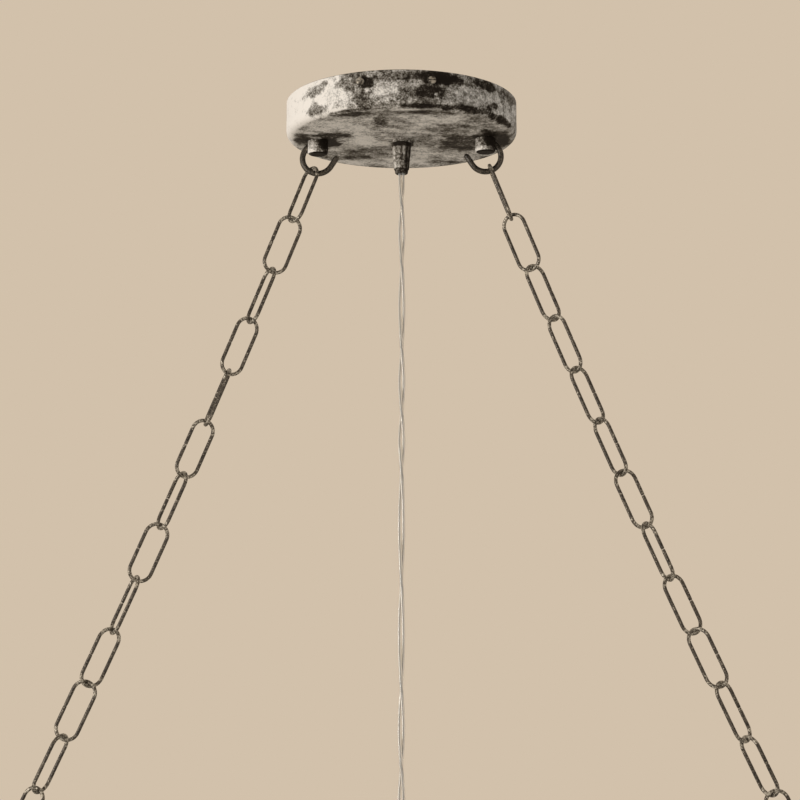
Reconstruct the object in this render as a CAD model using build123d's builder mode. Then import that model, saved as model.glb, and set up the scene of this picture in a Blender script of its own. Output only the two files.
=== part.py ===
from build123d import *
from math import cos, pi, radians, sin
import os

# Rectangular crystal chandelier on two splayed chains, in millimetres. The origin is on the
# ceiling, midway between the two junction-box screws. +Z points up into the ceiling, +X runs
# along the chandelier, and the front faces -Y.

os.makedirs("parts", exist_ok=True)

# Canopy and what fastens it
CANOPY_DIAMETER = 140.0
CANOPY_HEIGHT = 22.0
CANOPY_SHEET = 1.2
CANOPY_EDGE_RADIUS = 4.5
PLATE_THICKNESS = 1.8
PLATE_PAST_EAR = 2.5
PLATE_TO_CANOPY = 0.5
SLOT_SPACING = 79.4
SLOT_LENGTH = 14.6
SLOT_WIDTH = 4.8
WIRE_HOLE_DIAMETER = 22.0
EAR_WIDTH = 11.0
EAR_BELOW_SCREW = 4.5
SIDE_SCREW_DIAMETER = 2.9
SIDE_SCREW_PAST_EAR = 3.0
SIDE_SCREW_HEAD_DIAMETER = 4.8
SIDE_SCREW_HEAD_HEIGHT = 1.9
SIDE_SCREW_SLOT_WIDTH = 0.8
SIDE_SCREW_SLOT_DEPTH = 0.9
SIDE_SCREW_DEPTH = 6.0
SIDE_SCREW_ANGLE = 17.0
GROUND_SCREW_DIAMETER = 3.8
GROUND_SCREW_HEAD_DIAMETER = 8.0
GROUND_SCREW_HEAD_HEIGHT = 2.6
GROUND_SCREW_FROM_EDGE = 8.0
SCREW_HEAD_ROUNDING = 0.65  # as a share of the head's height
DRILL_LENGTH = 3.0  # how far a hole's cut reaches, in thicknesses of the sheet
CONNECTOR_LENGTH = 19.0
CONNECTOR_MOUTH_DIAMETER = 10.0
CONNECTOR_TIP_DIAMETER = 6.5
CONNECTOR_SPACING = 14.0
CONNECTOR_TO_LOAD_BAR = 11.5

# Load bar, chain hooks and nuts inside the canopy
LOAD_BAR_WIDTH = 18.0
LOAD_BAR_THICKNESS = 2.5
HOOK_FROM_CANOPY_EDGE = 19.0
KNOB_DIAMETER = 12.4
KNOB_HEIGHT = 8.6
KNOB_EDGE_RADIUS = 1.8
STUD_DIAMETER = 5.0
STUD_PAST_NUT = 1.2
NUT_FLATS = 8.0
NUT_HEIGHT = 4.0
RING_RADIUS = 9.4
RING_WIRE = 3.5
RING_BELOW_KNOB = 2.4
WELD_SINK = 0.25  # share of a wire that is sunk where it is welded on
HOOK_START_ANGLE = 118.0
HOOK_BEND_END_ANGLE = 327.0
HOOK_TIP_LENGTH = 7.9

# Cord grips at both ends of the cord, and the cord
GRIP_PAST_AXIS = 1.5
GRIP_COLLAR_DIAMETER = 12.0
GRIP_COLLAR_HEIGHT = 2.4
GRIP_BARREL_DIAMETER = 12.4
GRIP_BARREL_HEIGHT = 16.3
GRIP_BARREL_TAPER = 5.0
GRIP_BARREL_SIDES = 10
GRIP_TIP_DIAMETER = 8.4
GRIP_TIP_TAPER = 10.0
GRIP_SHANK_DIAMETER = 9.6
GRIP_SHANK_PAST_BAR = 6.0
GRIP_NUT_FLATS = 15.0
GRIP_NUT_HEIGHT = 3.5
CORD_DIAMETER = 4.2

# Chains: open-seam oval links, hung a little slack, so each leans more than the one above
LINK_LENGTH = 37.9
LINK_WIDTH = 16.1
LINK_WIRE = 2.2
LINK_SEAM = 0.25
LINK_GAP = 0.06
LINKS_PER_CHAIN = 13
CHAIN_SLOPE_AT_TOP = 21.5
CHAIN_SLOPE_PER_LINK = 0.3
CHAIN_TO_RING_GAP = 0.3
# How far each link is turned about its chain, from lying flat to the front
LEFT_LINK_TURNS = (50, -24, 58, -38, 72, -37, 55, -31, 63, -44, 7, -69, 25)
RIGHT_LINK_TURNS = (88, -29, 41, -52, 46, -59, 28, -69, 33, -39, 48, -57, 12)

# Chandelier frame
FRAME_LENGTH = 760.0
FRAME_WIDTH = 254.0
RAIL_SIZE = 10.0
STRAND_HEIGHT = 170.0
HANGER_BAR_WIDTH = 24.0
HANGER_BAR_THICKNESS = 6.0
EYE_COLLAR_DIAMETER = 12.0
EYE_COLLAR_HEIGHT = 4.0
STEM_WALL = 2.0
LAMP_BAR_WIDTH = 24.0
LAMP_BAR_HEIGHT = 12.0
LAMP_BAR_WALL = 1.5

# Candle lamps
LAMPS_PER_SIDE = 3
CUP_FLARE = 6.5
CUP_HEIGHT = 8.0
CUP_THICKNESS = 1.5
SLEEVE_WALL = 1.2
SLEEVE_PAST_SOCKET = 2.0
SOCKET_WALL = 2.2
SOCKET_HEIGHT = 57.0
SOCKET_BORE_DEPTH = 22.0
SOCKET_NIPPLE_DIAMETER = 9.6
SOCKET_NIPPLE_PAST_WALL = 2.0
BULB_CAP_DIAMETER = 11.9
BULB_CAP_PAST_SOCKET = 2.3
BULB_DIAMETER = 32.0
BULB_HEIGHT = 66.0
BULB_BELLY_HEIGHT = 24.0
BULB_SHOULDER_DIAMETER = 12.8
BULB_SHOULDER_BELOW_TIP = 16.0
BULB_WALL = 0.8
BULB_NECK_DIRECTION = (0.6, 1)
BULB_TIP_DIRECTION = (-0.35, 1)

# Crystals
STRAND_SPACING = 45.0
CRYSTAL_GAP = 6.0
OCTAGON_SIZE = 18.0
OCTAGON_SIDES = 8
OCTAGON_THICKNESS = 9.0
OCTAGON_BEVEL = 40.0
PRISM_WIDTH = 14.0
PRISM_SIDES = 6
PRISM_POINT_LENGTH = 14.0
PRISM_POINT_TAPER = 18.0
PIN_DIAMETER = 1.2
PIN_DEPTH = 3.0
DROP_DIAMETER = 40.0
DROP_FACET_ROWS = 6
DROP_SIDES = 10
DROP_EYE_RADIUS = 4.5
DROP_EYE_WIRE = 2.0
DROP_LOOP_RADIUS = 5.0
DROP_LOOP_WIRE = 1.6

# Clearances, each on one side of a round piece or under a face
SCREW_CLEARANCE = 0.1
SCREW_HEAD_GAP = 0.06
STUD_CLEARANCE = 0.15
HOOK_TO_KNOB_GAP = 0.03
CORD_CLEARANCE = 0.45
BULB_CAP_CLEARANCE = 0.4
SLEEVE_CLEARANCE = 1.3
SLEEVE_TO_CUP_WALL = 0.5
STEM_CLEARANCE = 0.2
LOOSE_FIT = 0.3

# Heights and radii that follow from the sizes above
canopy_radius = CANOPY_DIAMETER / 2
canopy_floor = -CANOPY_HEIGHT
canopy_drill = DRILL_LENGTH * CANOPY_SHEET
plate_drill = DRILL_LENGTH * PLATE_THICKNESS
bar_bottom = canopy_floor + CANOPY_SHEET
bar_top = bar_bottom + LOAD_BAR_THICKNESS
ear_outer_radius = canopy_radius - CANOPY_SHEET - PLATE_TO_CANOPY
ear_mid_radius = ear_outer_radius - PLATE_THICKNESS / 2
plate_width = 2 * (ear_mid_radius * sin(radians(SIDE_SCREW_ANGLE)) + PLATE_PAST_EAR)
side_screw_length = CANOPY_SHEET + PLATE_TO_CANOPY + PLATE_THICKNESS + SIDE_SCREW_PAST_EAR
ground_screw_x = GROUND_SCREW_FROM_EDGE - plate_width / 2
ground_screw_y = (WIRE_HOLE_DIAMETER + SLOT_SPACING - SLOT_LENGTH) / 4
hook_x = canopy_radius - HOOK_FROM_CANOPY_EDGE
knob_bottom = canopy_floor - KNOB_HEIGHT
hook_ring_z = knob_bottom - RING_BELOW_KNOB
swing_z = hook_ring_z - RING_RADIUS * cos(radians(CHAIN_SLOPE_AT_TOP))

link_mid_length = LINK_LENGTH - LINK_WIRE
link_mid_width = LINK_WIDTH - LINK_WIRE
link_pitch = link_mid_length - LINK_WIRE - LINK_GAP
link_under_ring = RING_WIRE / 2 + LINK_WIRE / 2 + CHAIN_TO_RING_GAP


def write(piece, label):
    """Label a finished piece and write it to its own STEP file."""
    piece.label = label
    export_step(piece, f"parts/{label}.step")


def nut(bottom, flats, height, bore, centres):
    """Hexagon nuts standing on the plane z = bottom, one at each centre."""
    with BuildPart() as nuts:
        with BuildSketch(Plane.XY.offset(bottom)):
            with Locations(*centres):
                RegularPolygon(flats / 2, 6, major_radius=False)
                Circle(bore / 2, mode=Mode.SUBTRACT)
        extrude(amount=height)
    return nuts.part


# Canopy: a spun steel dish with a rolled lower edge
def side_screw_seats(radius):
    """Planes at the four side screws, each facing outwards at this radius."""
    seats = []
    for middle in (-90, 90):
        for turn in (-SIDE_SCREW_ANGLE, SIDE_SCREW_ANGLE):
            angle = radians(middle + turn)
            outward = Vector(cos(angle), sin(angle), 0)
            origin = outward * radius + Vector(0, 0, -SIDE_SCREW_DEPTH)
            seats.append(Plane(origin=origin, x_dir=(-sin(angle), cos(angle), 0), z_dir=outward))
    return seats


with BuildPart() as canopy_shell:
    Cylinder(canopy_radius, CANOPY_HEIGHT, align=(Align.CENTER, Align.CENTER, Align.MAX))
    fillet(canopy_shell.edges().group_by(Axis.Z)[0], CANOPY_EDGE_RADIUS)
    offset(amount=-CANOPY_SHEET, openings=canopy_shell.faces().sort_by(Axis.Z)[-1])
    with Locations((0, 0, canopy_floor)):
        Cylinder(GRIP_SHANK_DIAMETER / 2 + STUD_CLEARANCE, canopy_drill, mode=Mode.SUBTRACT)
    with Locations((-hook_x, 0, canopy_floor), (hook_x, 0, canopy_floor)):
        Cylinder(STUD_DIAMETER / 2 + STUD_CLEARANCE, canopy_drill, mode=Mode.SUBTRACT)
    with Locations(*side_screw_seats(canopy_radius)):
        Cylinder(
            SIDE_SCREW_DIAMETER / 2 + 2 * SCREW_CLEARANCE, canopy_drill, mode=Mode.SUBTRACT
        )
write(canopy_shell.part, "canopy_shell")

# Mounting plate: a wide strap under the junction box, with four ears bent down to the canopy wall
with BuildPart() as mounting_plate:
    with BuildSketch():
        Circle(ear_mid_radius)
        Rectangle(plate_width, CANOPY_DIAMETER, mode=Mode.INTERSECT)
        Circle(WIRE_HOLE_DIAMETER / 2, mode=Mode.SUBTRACT)
        with Locations((0, -SLOT_SPACING / 2), (0, SLOT_SPACING / 2)):
            SlotOverall(SLOT_LENGTH, SLOT_WIDTH, rotation=90, mode=Mode.SUBTRACT)
        with Locations((ground_screw_x, ground_screw_y)):
            Circle(GROUND_SCREW_DIAMETER / 2 + SCREW_CLEARANCE, mode=Mode.SUBTRACT)
    extrude(amount=-PLATE_THICKNESS)
    for seat in side_screw_seats(ear_mid_radius):
        with BuildSketch(Plane(origin=(seat.origin.X, seat.origin.Y, 0), x_dir=seat.x_dir)):
            Rectangle(EAR_WIDTH, PLATE_THICKNESS)
        extrude(amount=-SIDE_SCREW_DEPTH - EAR_BELOW_SCREW)
    with Locations(*side_screw_seats(ear_mid_radius)):
        Cylinder(SIDE_SCREW_DIAMETER / 2 + SCREW_CLEARANCE, plate_drill, mode=Mode.SUBTRACT)
write(mounting_plate.part, "mounting_plate")

# Side screws: round heads with a single slot, two at the front and two at the back
with BuildPart() as side_screw_form:
    Cylinder(
        SIDE_SCREW_HEAD_DIAMETER / 2,
        SIDE_SCREW_HEAD_HEIGHT,
        align=(Align.CENTER, Align.CENTER, Align.MIN),
    )
    fillet(
        side_screw_form.edges().group_by(Axis.Z)[-1],
        SCREW_HEAD_ROUNDING * SIDE_SCREW_HEAD_HEIGHT,
    )
    Cylinder(
        SIDE_SCREW_DIAMETER / 2, side_screw_length, align=(Align.CENTER, Align.CENTER, Align.MAX)
    )
    with Locations((0, 0, SIDE_SCREW_HEAD_HEIGHT)):
        Box(
            SIDE_SCREW_HEAD_DIAMETER,
            SIDE_SCREW_SLOT_WIDTH,
            2 * SIDE_SCREW_SLOT_DEPTH,
            mode=Mode.SUBTRACT,
        )

with BuildPart() as canopy_side_screws:
    with Locations(*side_screw_seats(canopy_radius + SCREW_HEAD_GAP)):
        add(side_screw_form.part)
write(canopy_side_screws.part, "canopy_side_screws")

with BuildPart() as ground_screw:
    with Locations((ground_screw_x, ground_screw_y, 0)):
        Cylinder(
            GROUND_SCREW_DIAMETER / 2,
            PLATE_THICKNESS,
            align=(Align.CENTER, Align.CENTER, Align.MAX),
        )
    with Locations((ground_screw_x, ground_screw_y, -PLATE_THICKNESS)):
        Cylinder(
            GROUND_SCREW_HEAD_DIAMETER / 2,
            GROUND_SCREW_HEAD_HEIGHT,
            align=(Align.CENTER, Align.CENTER, Align.MAX),
        )
    fillet(
        ground_screw.edges().group_by(Axis.Z)[0], SCREW_HEAD_ROUNDING * GROUND_SCREW_HEAD_HEIGHT
    )
write(ground_screw.part, "ground_screw")

# Load bar: the strip inside the canopy that carries both chain hooks
with BuildPart() as load_bar:
    with BuildSketch(Plane.XY.offset(bar_bottom)):
        SlotCenterToCenter(2 * hook_x, LOAD_BAR_WIDTH)
        Circle(GRIP_SHANK_DIAMETER / 2 + STUD_CLEARANCE, mode=Mode.SUBTRACT)
        with Locations((-hook_x, 0), (hook_x, 0)):
            Circle(STUD_DIAMETER / 2 + STUD_CLEARANCE, mode=Mode.SUBTRACT)
    extrude(amount=LOAD_BAR_THICKNESS)
write(load_bar.part, "load_bar")


# Chain hooks: an open C of round wire whose outer end is set in a turned knob
def hook_wire(side, radius):
    """The hook's wire on one side (-1 left, 1 right), with its opening towards the middle."""
    inward = -side

    def on_ring(angle):
        a = radians(angle)
        return (side * hook_x + inward * RING_RADIUS * cos(a), hook_ring_z + RING_RADIUS * sin(a))

    last = radians(HOOK_BEND_END_ANGLE)
    bend_end = on_ring(HOOK_BEND_END_ANGLE)
    tip = (
        bend_end[0] - inward * HOOK_TIP_LENGTH * sin(last),
        bend_end[1] + HOOK_TIP_LENGTH * cos(last),
    )
    middle = (HOOK_START_ANGLE + HOOK_BEND_END_ANGLE) / 2
    with BuildPart() as wire:
        with BuildLine(Plane.XZ) as bend:
            ThreePointArc(on_ring(HOOK_START_ANGLE), on_ring(middle), bend_end)
            Line(bend_end, tip)
        with BuildSketch(Plane(origin=bend.line @ 0, z_dir=bend.line % 0)):
            Circle(radius)
        sweep()
    return wire.part


for side, name in ((-1, "left"), (1, "right")):
    with BuildPart() as hook_knob:
        with Locations((side * hook_x, 0, canopy_floor)):
            Cylinder(
                KNOB_DIAMETER / 2, KNOB_HEIGHT, align=(Align.CENTER, Align.CENTER, Align.MAX)
            )
        fillet(hook_knob.edges().group_by(Axis.Z)[0], KNOB_EDGE_RADIUS)
        with Locations((side * hook_x, 0, canopy_floor)):
            Cylinder(
                STUD_DIAMETER / 2,
                bar_top - canopy_floor + NUT_HEIGHT + STUD_PAST_NUT,
                align=(Align.CENTER, Align.CENTER, Align.MIN),
            )
        add(hook_wire(side, RING_WIRE / 2 + HOOK_TO_KNOB_GAP), mode=Mode.SUBTRACT)
    write(hook_knob.part, f"{name}_hook_knob")
    write(hook_wire(side, RING_WIRE / 2), f"{name}_chain_hook")

write(
    nut(
        bar_top,
        NUT_FLATS,
        NUT_HEIGHT,
        STUD_DIAMETER + 2 * SCREW_CLEARANCE,
        ((-hook_x, 0), (hook_x, 0)),
    ),
    "hook_nuts",
)


# Cord grips: a collar, a faceted tapering barrel and a narrower tip, bored for the cord
def cord_grip(base, length, shank_length):
    """A cord grip on a base plane whose normal points the way the cord leaves."""
    with BuildPart() as grip:
        with BuildSketch(base):
            Circle(GRIP_COLLAR_DIAMETER / 2)
        extrude(amount=GRIP_COLLAR_HEIGHT)
        with BuildSketch(base.offset(GRIP_COLLAR_HEIGHT)):
            RegularPolygon(GRIP_BARREL_DIAMETER / 2, GRIP_BARREL_SIDES)
        extrude(amount=GRIP_BARREL_HEIGHT, taper=GRIP_BARREL_TAPER)
        with BuildSketch(base.offset(GRIP_COLLAR_HEIGHT + GRIP_BARREL_HEIGHT)):
            Circle(GRIP_TIP_DIAMETER / 2)
        extrude(amount=length - GRIP_COLLAR_HEIGHT - GRIP_BARREL_HEIGHT, taper=GRIP_TIP_TAPER)
        with BuildSketch(base):
            Circle(GRIP_SHANK_DIAMETER / 2)
        extrude(amount=-shank_length)
        with BuildSketch(base.offset(-shank_length)):
            Circle(CORD_DIAMETER / 2 + CORD_CLEARANCE)
        extrude(amount=shank_length + length, mode=Mode.SUBTRACT)
    return grip.part


write(
    cord_grip(
        Plane(origin=(0, 0, canopy_floor), z_dir=(0, 0, -1)),
        canopy_floor - swing_z + GRIP_PAST_AXIS,
        bar_top - canopy_floor + GRIP_SHANK_PAST_BAR,
    ),
    "cord_grip",
)
write(
    nut(
        bar_top,
        GRIP_NUT_FLATS,
        GRIP_NUT_HEIGHT,
        GRIP_SHANK_DIAMETER + 2 * SCREW_CLEARANCE,
        ((0, 0),),
    ),
    "cord_grip_nut",
)

# Wire connectors: three twist-on cones lying on the canopy floor behind the load bar
with BuildPart() as wire_connectors:
    for count in (-1, 0, 1):
        lying = Plane(
            origin=(
                count * CONNECTOR_SPACING,
                LOAD_BAR_WIDTH / 2 + CONNECTOR_TO_LOAD_BAR,
                bar_bottom + CONNECTOR_MOUTH_DIAMETER / 2,
            ),
            z_dir=(0, 1, 0),
        )
        with BuildSketch(lying):
            Circle(CONNECTOR_MOUTH_DIAMETER / 2)
        with BuildSketch(lying.offset(CONNECTOR_LENGTH)):
            Circle(CONNECTOR_TIP_DIAMETER / 2)
        loft()
write(wire_connectors.part, "wire_connectors")


# Chains: each link is bent from round wire, and its two ends meet in a seam halfway up one leg
def chain_link(link_plane):
    """One link, centred on its plane, with its length along the plane's local Y."""
    bend = link_mid_width / 2
    leg = link_mid_length / 2 - bend
    with BuildPart() as link:
        with BuildLine(link_plane) as centre_line:
            Line((bend, LINK_SEAM / 2), (bend, leg))
            CenterArc((0, leg), bend, 0, 180)
            Line((-bend, leg), (-bend, -leg))
            CenterArc((0, -leg), bend, 180, 180)
            Line((bend, -leg), (bend, -LINK_SEAM / 2))
        with BuildSketch(Plane(origin=centre_line.line @ 0, z_dir=centre_line.line % 0)):
            Circle(LINK_WIRE / 2)
        sweep()
    return link.part


def down_chain(side, slope):
    """Unit vector down the chain on one side, at this slope from the vertical."""
    return Vector(side * sin(radians(slope)), 0, -cos(radians(slope)))


def hang_chain(side, name, turns):
    """Write one chain, link by link, and return the lowest point of its centre line."""
    slope = CHAIN_SLOPE_AT_TOP
    down = down_chain(side, slope)
    top = Vector(side * hook_x, 0, hook_ring_z) + down * (RING_RADIUS - link_under_ring)
    for number in range(LINKS_PER_CHAIN):
        down = down_chain(side, slope)
        across = Vector(side * cos(radians(slope)), 0, sin(radians(slope)))
        turn = radians(turns[number % len(turns)])
        width_dir = across * cos(turn) + Vector(0, 1, 0) * sin(turn)
        link_plane = Plane(
            origin=top + down * (link_mid_length / 2),
            x_dir=width_dir,
            z_dir=width_dir.cross(down * -1),
        )
        write(chain_link(link_plane), f"{name}_link_{number + 1:02d}")
        bottom = top + down * link_mid_length
        top = top + down * link_pitch
        slope += CHAIN_SLOPE_PER_LINK
    return bottom


hang_chain(-1, "left", LEFT_LINK_TURNS)
chain_end = hang_chain(1, "right", RIGHT_LINK_TURNS)

# Heights of the frame, down from the chains
last_slope = CHAIN_SLOPE_AT_TOP + CHAIN_SLOPE_PER_LINK * (LINKS_PER_CHAIN - 1)
tilt_z = chain_end.Z
eye_top = chain_end - down_chain(1, last_slope) * link_under_ring
eye_x = eye_top.X
eye_z = eye_top.Z - RING_RADIUS
collar_top = eye_z - RING_RADIUS - (0.5 - WELD_SINK) * RING_WIRE
frame_top = collar_top - EYE_COLLAR_HEIGHT
top_rail_bottom = frame_top - RAIL_SIZE
bottom_rail_top = top_rail_bottom - STRAND_HEIGHT
frame_bottom = bottom_rail_top - RAIL_SIZE
lamp_bar_top = frame_bottom + LAMP_BAR_HEIGHT
hanger_bar_bottom = frame_top - HANGER_BAR_THICKNESS
inner_length = FRAME_LENGTH - 2 * RAIL_SIZE
inner_width = FRAME_WIDTH - 2 * RAIL_SIZE

# Power cord: a straight drop between the two grips, starting and ending on the swing axes
with BuildPart() as power_cord:
    with BuildLine():
        Line((0, 0, swing_z), (0, 0, tilt_z))
    with BuildSketch(Plane.XY.offset(swing_z)):
        Circle(CORD_DIAMETER / 2)
    sweep()
write(power_cord.part, "power_cord")


# Frame: two square-bar rings joined by corner posts
def rail(bottom, label):
    """A rectangular ring of square bar whose underside is at z = bottom."""
    with BuildPart() as ring:
        with BuildSketch(Plane.XY.offset(bottom)):
            Rectangle(FRAME_LENGTH, FRAME_WIDTH)
            Rectangle(inner_length, inner_width, mode=Mode.SUBTRACT)
        extrude(amount=RAIL_SIZE)
    write(ring.part, label)


rail(top_rail_bottom, "top_rail")
rail(frame_bottom, "bottom_rail")

with BuildPart() as corner_posts:
    with BuildSketch(Plane.XY.offset(bottom_rail_top)):
        with GridLocations(FRAME_LENGTH - RAIL_SIZE, FRAME_WIDTH - RAIL_SIZE, 2, 2):
            Rectangle(RAIL_SIZE, RAIL_SIZE)
    extrude(amount=STRAND_HEIGHT)
write(corner_posts.part, "corner_posts")

# Hanger bar: flat bar between the end rails, drilled for the two eyes and the cord
with BuildPart() as hanger_bar:
    with BuildSketch(Plane.XY.offset(hanger_bar_bottom)):
        Rectangle(inner_length, HANGER_BAR_WIDTH)
        Circle(GRIP_SHANK_DIAMETER / 2 + STUD_CLEARANCE, mode=Mode.SUBTRACT)
        with Locations((-eye_x, 0), (eye_x, 0)):
            Circle(STUD_DIAMETER / 2 + STUD_CLEARANCE, mode=Mode.SUBTRACT)
    extrude(amount=HANGER_BAR_THICKNESS)
write(hanger_bar.part, "hanger_bar")

# Frame eyes: closed rings across the hanger bar, each with a collar and a stud
for side, name in ((-1, "left"), (1, "right")):
    with BuildPart() as frame_eye:
        with Locations(Plane(origin=(side * eye_x, 0, eye_z), z_dir=(1, 0, 0))):
            Torus(RING_RADIUS, RING_WIRE / 2)
        with Locations((side * eye_x, 0, frame_top)):
            Cylinder(
                EYE_COLLAR_DIAMETER / 2,
                EYE_COLLAR_HEIGHT,
                align=(Align.CENTER, Align.CENTER, Align.MIN),
            )
            Cylinder(
                STUD_DIAMETER / 2,
                HANGER_BAR_THICKNESS + NUT_HEIGHT + STUD_PAST_NUT,
                align=(Align.CENTER, Align.CENTER, Align.MAX),
            )
    write(frame_eye.part, f"{name}_frame_eye")

write(
    nut(
        hanger_bar_bottom - NUT_HEIGHT,
        NUT_FLATS,
        NUT_HEIGHT,
        STUD_DIAMETER + 2 * SCREW_CLEARANCE,
        ((-eye_x, 0), (eye_x, 0)),
    ),
    "eye_nuts",
)

write(
    cord_grip(
        Plane.XY.offset(frame_top),
        tilt_z - frame_top + GRIP_PAST_AXIS,
        HANGER_BAR_THICKNESS + GRIP_SHANK_PAST_BAR,
    ),
    "frame_cord_grip",
)

# Centre stem: the tube over the grip's shank that carries the wires and the lamp bar
stem_bore_radius = GRIP_SHANK_DIAMETER / 2 + STEM_CLEARANCE
with BuildPart() as centre_stem:
    with BuildSketch(Plane.XY.offset(lamp_bar_top)):
        Circle(stem_bore_radius + STEM_WALL)
        Circle(stem_bore_radius, mode=Mode.SUBTRACT)
    extrude(amount=hanger_bar_bottom - lamp_bar_top)
write(centre_stem.part, "centre_stem")

# Heights and radii of the candle lamps, which stand in a row on the lamp bar
cup_floor = lamp_bar_top + CUP_THICKNESS
socket_top = cup_floor + SOCKET_HEIGHT
cap_top = socket_top + BULB_CAP_PAST_SOCKET
nipple_hole_radius = SOCKET_NIPPLE_DIAMETER / 2 + STUD_CLEARANCE
socket_bore_radius = BULB_CAP_DIAMETER / 2 + BULB_CAP_CLEARANCE
socket_radius = socket_bore_radius + SOCKET_WALL
sleeve_bore_radius = socket_radius + SLEEVE_CLEARANCE
sleeve_radius = sleeve_bore_radius + SLEEVE_WALL
cup_base_radius = sleeve_radius + SLEEVE_TO_CUP_WALL
cup_rim_radius = cup_base_radius + CUP_FLARE

# Lamp bar: a square tube that hides the wiring and carries the candle lamps
lamp_spacing = inner_length / (2 * LAMPS_PER_SIDE)
lamp_positions = [
    (side * lamp_spacing * (count + 0.5), 0)
    for side in (-1, 1)
    for count in range(LAMPS_PER_SIDE)
]

with BuildPart() as lamp_bar:
    with BuildSketch(Plane.YZ.offset(-inner_length / 2)):
        with Locations((0, frame_bottom + LAMP_BAR_HEIGHT / 2)):
            Rectangle(LAMP_BAR_WIDTH, LAMP_BAR_HEIGHT)
            Rectangle(
                LAMP_BAR_WIDTH - 2 * LAMP_BAR_WALL,
                LAMP_BAR_HEIGHT - 2 * LAMP_BAR_WALL,
                mode=Mode.SUBTRACT,
            )
    extrude(amount=inner_length)
    with BuildSketch(Plane.XY.offset(lamp_bar_top)):
        with Locations(*lamp_positions):
            Circle(nipple_hole_radius)
        Circle(stem_bore_radius)
    extrude(amount=-2 * LAMP_BAR_WALL, mode=Mode.SUBTRACT)
write(lamp_bar.part, "lamp_bar")

# Candle lamps: cup, sleeve, socket and bulb, stacked on the lamp bar
with BuildPart() as cup_form:
    with BuildSketch(Plane.XZ):
        with BuildLine():
            Polyline(
                (nipple_hole_radius, 0),
                (cup_base_radius, 0),
                (cup_rim_radius, CUP_HEIGHT - CUP_THICKNESS),
                (cup_rim_radius, CUP_HEIGHT),
                (cup_rim_radius - CUP_THICKNESS, CUP_HEIGHT),
                (cup_base_radius, CUP_THICKNESS),
                (nipple_hole_radius, CUP_THICKNESS),
                close=True,
            )
        make_face()
    revolve(axis=Axis.Z)

with BuildPart() as candle_cups:
    with Locations(*[(x, y, lamp_bar_top) for x, y in lamp_positions]):
        add(cup_form.part)
write(candle_cups.part, "candle_cups")

with BuildPart() as candle_sleeves:
    with BuildSketch(Plane.XY.offset(cup_floor)):
        with Locations(*lamp_positions):
            Circle(sleeve_radius)
            Circle(sleeve_bore_radius, mode=Mode.SUBTRACT)
    extrude(amount=SOCKET_HEIGHT + SLEEVE_PAST_SOCKET)
write(candle_sleeves.part, "candle_sleeves")

with BuildPart() as lamp_sockets:
    with BuildSketch(Plane.XY.offset(cup_floor)):
        with Locations(*lamp_positions):
            Circle(socket_radius)
    extrude(amount=SOCKET_HEIGHT)
    with BuildSketch(Plane.XY.offset(socket_top)):
        with Locations(*lamp_positions):
            Circle(socket_bore_radius)
    extrude(amount=-SOCKET_BORE_DEPTH, mode=Mode.SUBTRACT)
    with BuildSketch(Plane.XY.offset(cup_floor)):
        with Locations(*lamp_positions):
            Circle(SOCKET_NIPPLE_DIAMETER / 2)
    extrude(amount=-CUP_THICKNESS - LAMP_BAR_WALL - SOCKET_NIPPLE_PAST_WALL)
write(lamp_sockets.part, "lamp_sockets")

with BuildPart() as bulb_caps:
    with BuildSketch(Plane.XY.offset(cap_top)):
        with Locations(*lamp_positions):
            Circle(BULB_CAP_DIAMETER / 2)
    extrude(amount=LOOSE_FIT - BULB_CAP_PAST_SOCKET - SOCKET_BORE_DEPTH)
write(bulb_caps.part, "bulb_caps")

# Flame bulbs: a thin glass shell of revolution, open at the neck
with BuildPart() as globe_form:
    for wall, mode in ((0, Mode.ADD), (BULB_WALL, Mode.SUBTRACT)):
        with BuildSketch(Plane.XZ):
            with BuildLine():
                rise = Spline(
                    (BULB_CAP_DIAMETER / 2 - wall, 0),
                    (BULB_DIAMETER / 2 - wall, BULB_BELLY_HEIGHT),
                    (BULB_SHOULDER_DIAMETER / 2 - wall, BULB_HEIGHT - BULB_SHOULDER_BELOW_TIP),
                    (0, BULB_HEIGHT - wall),
                    tangents=(BULB_NECK_DIRECTION, BULB_TIP_DIRECTION),
                )
                Line(rise @ 1, (0, 0))
                Line((0, 0), rise @ 0)
            make_face()
        revolve(axis=Axis.Z, mode=mode)

with BuildPart() as bulb_globes:
    with Locations(*[(x, y, cap_top) for x, y in lamp_positions]):
        add(globe_form.part)
write(bulb_globes.part, "bulb_globes")

# Crystal strands: an octagon over a long six-sided prism, pinned to both rails
octagon_centre = top_rail_bottom - CRYSTAL_GAP - OCTAGON_SIZE / 2
prism_length = STRAND_HEIGHT - OCTAGON_SIZE - 3 * CRYSTAL_GAP
prism_top = octagon_centre - OCTAGON_SIZE / 2 - CRYSTAL_GAP
prism_bottom = prism_top - prism_length
prism_body = prism_length / 2 - PRISM_POINT_LENGTH

with BuildPart() as octagon_form:
    for facing in (-1, 1):
        with BuildSketch(Plane(origin=(0, 0, 0), x_dir=(1, 0, 0), z_dir=(0, facing, 0))):
            RegularPolygon(
                OCTAGON_SIZE / 2, OCTAGON_SIDES, major_radius=False, rotation=180 / OCTAGON_SIDES
            )
        extrude(amount=OCTAGON_THICKNESS / 2, taper=OCTAGON_BEVEL)
    Cylinder(PIN_DIAMETER / 2 + SCREW_CLEARANCE, 2 * OCTAGON_SIZE, mode=Mode.SUBTRACT)

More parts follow.
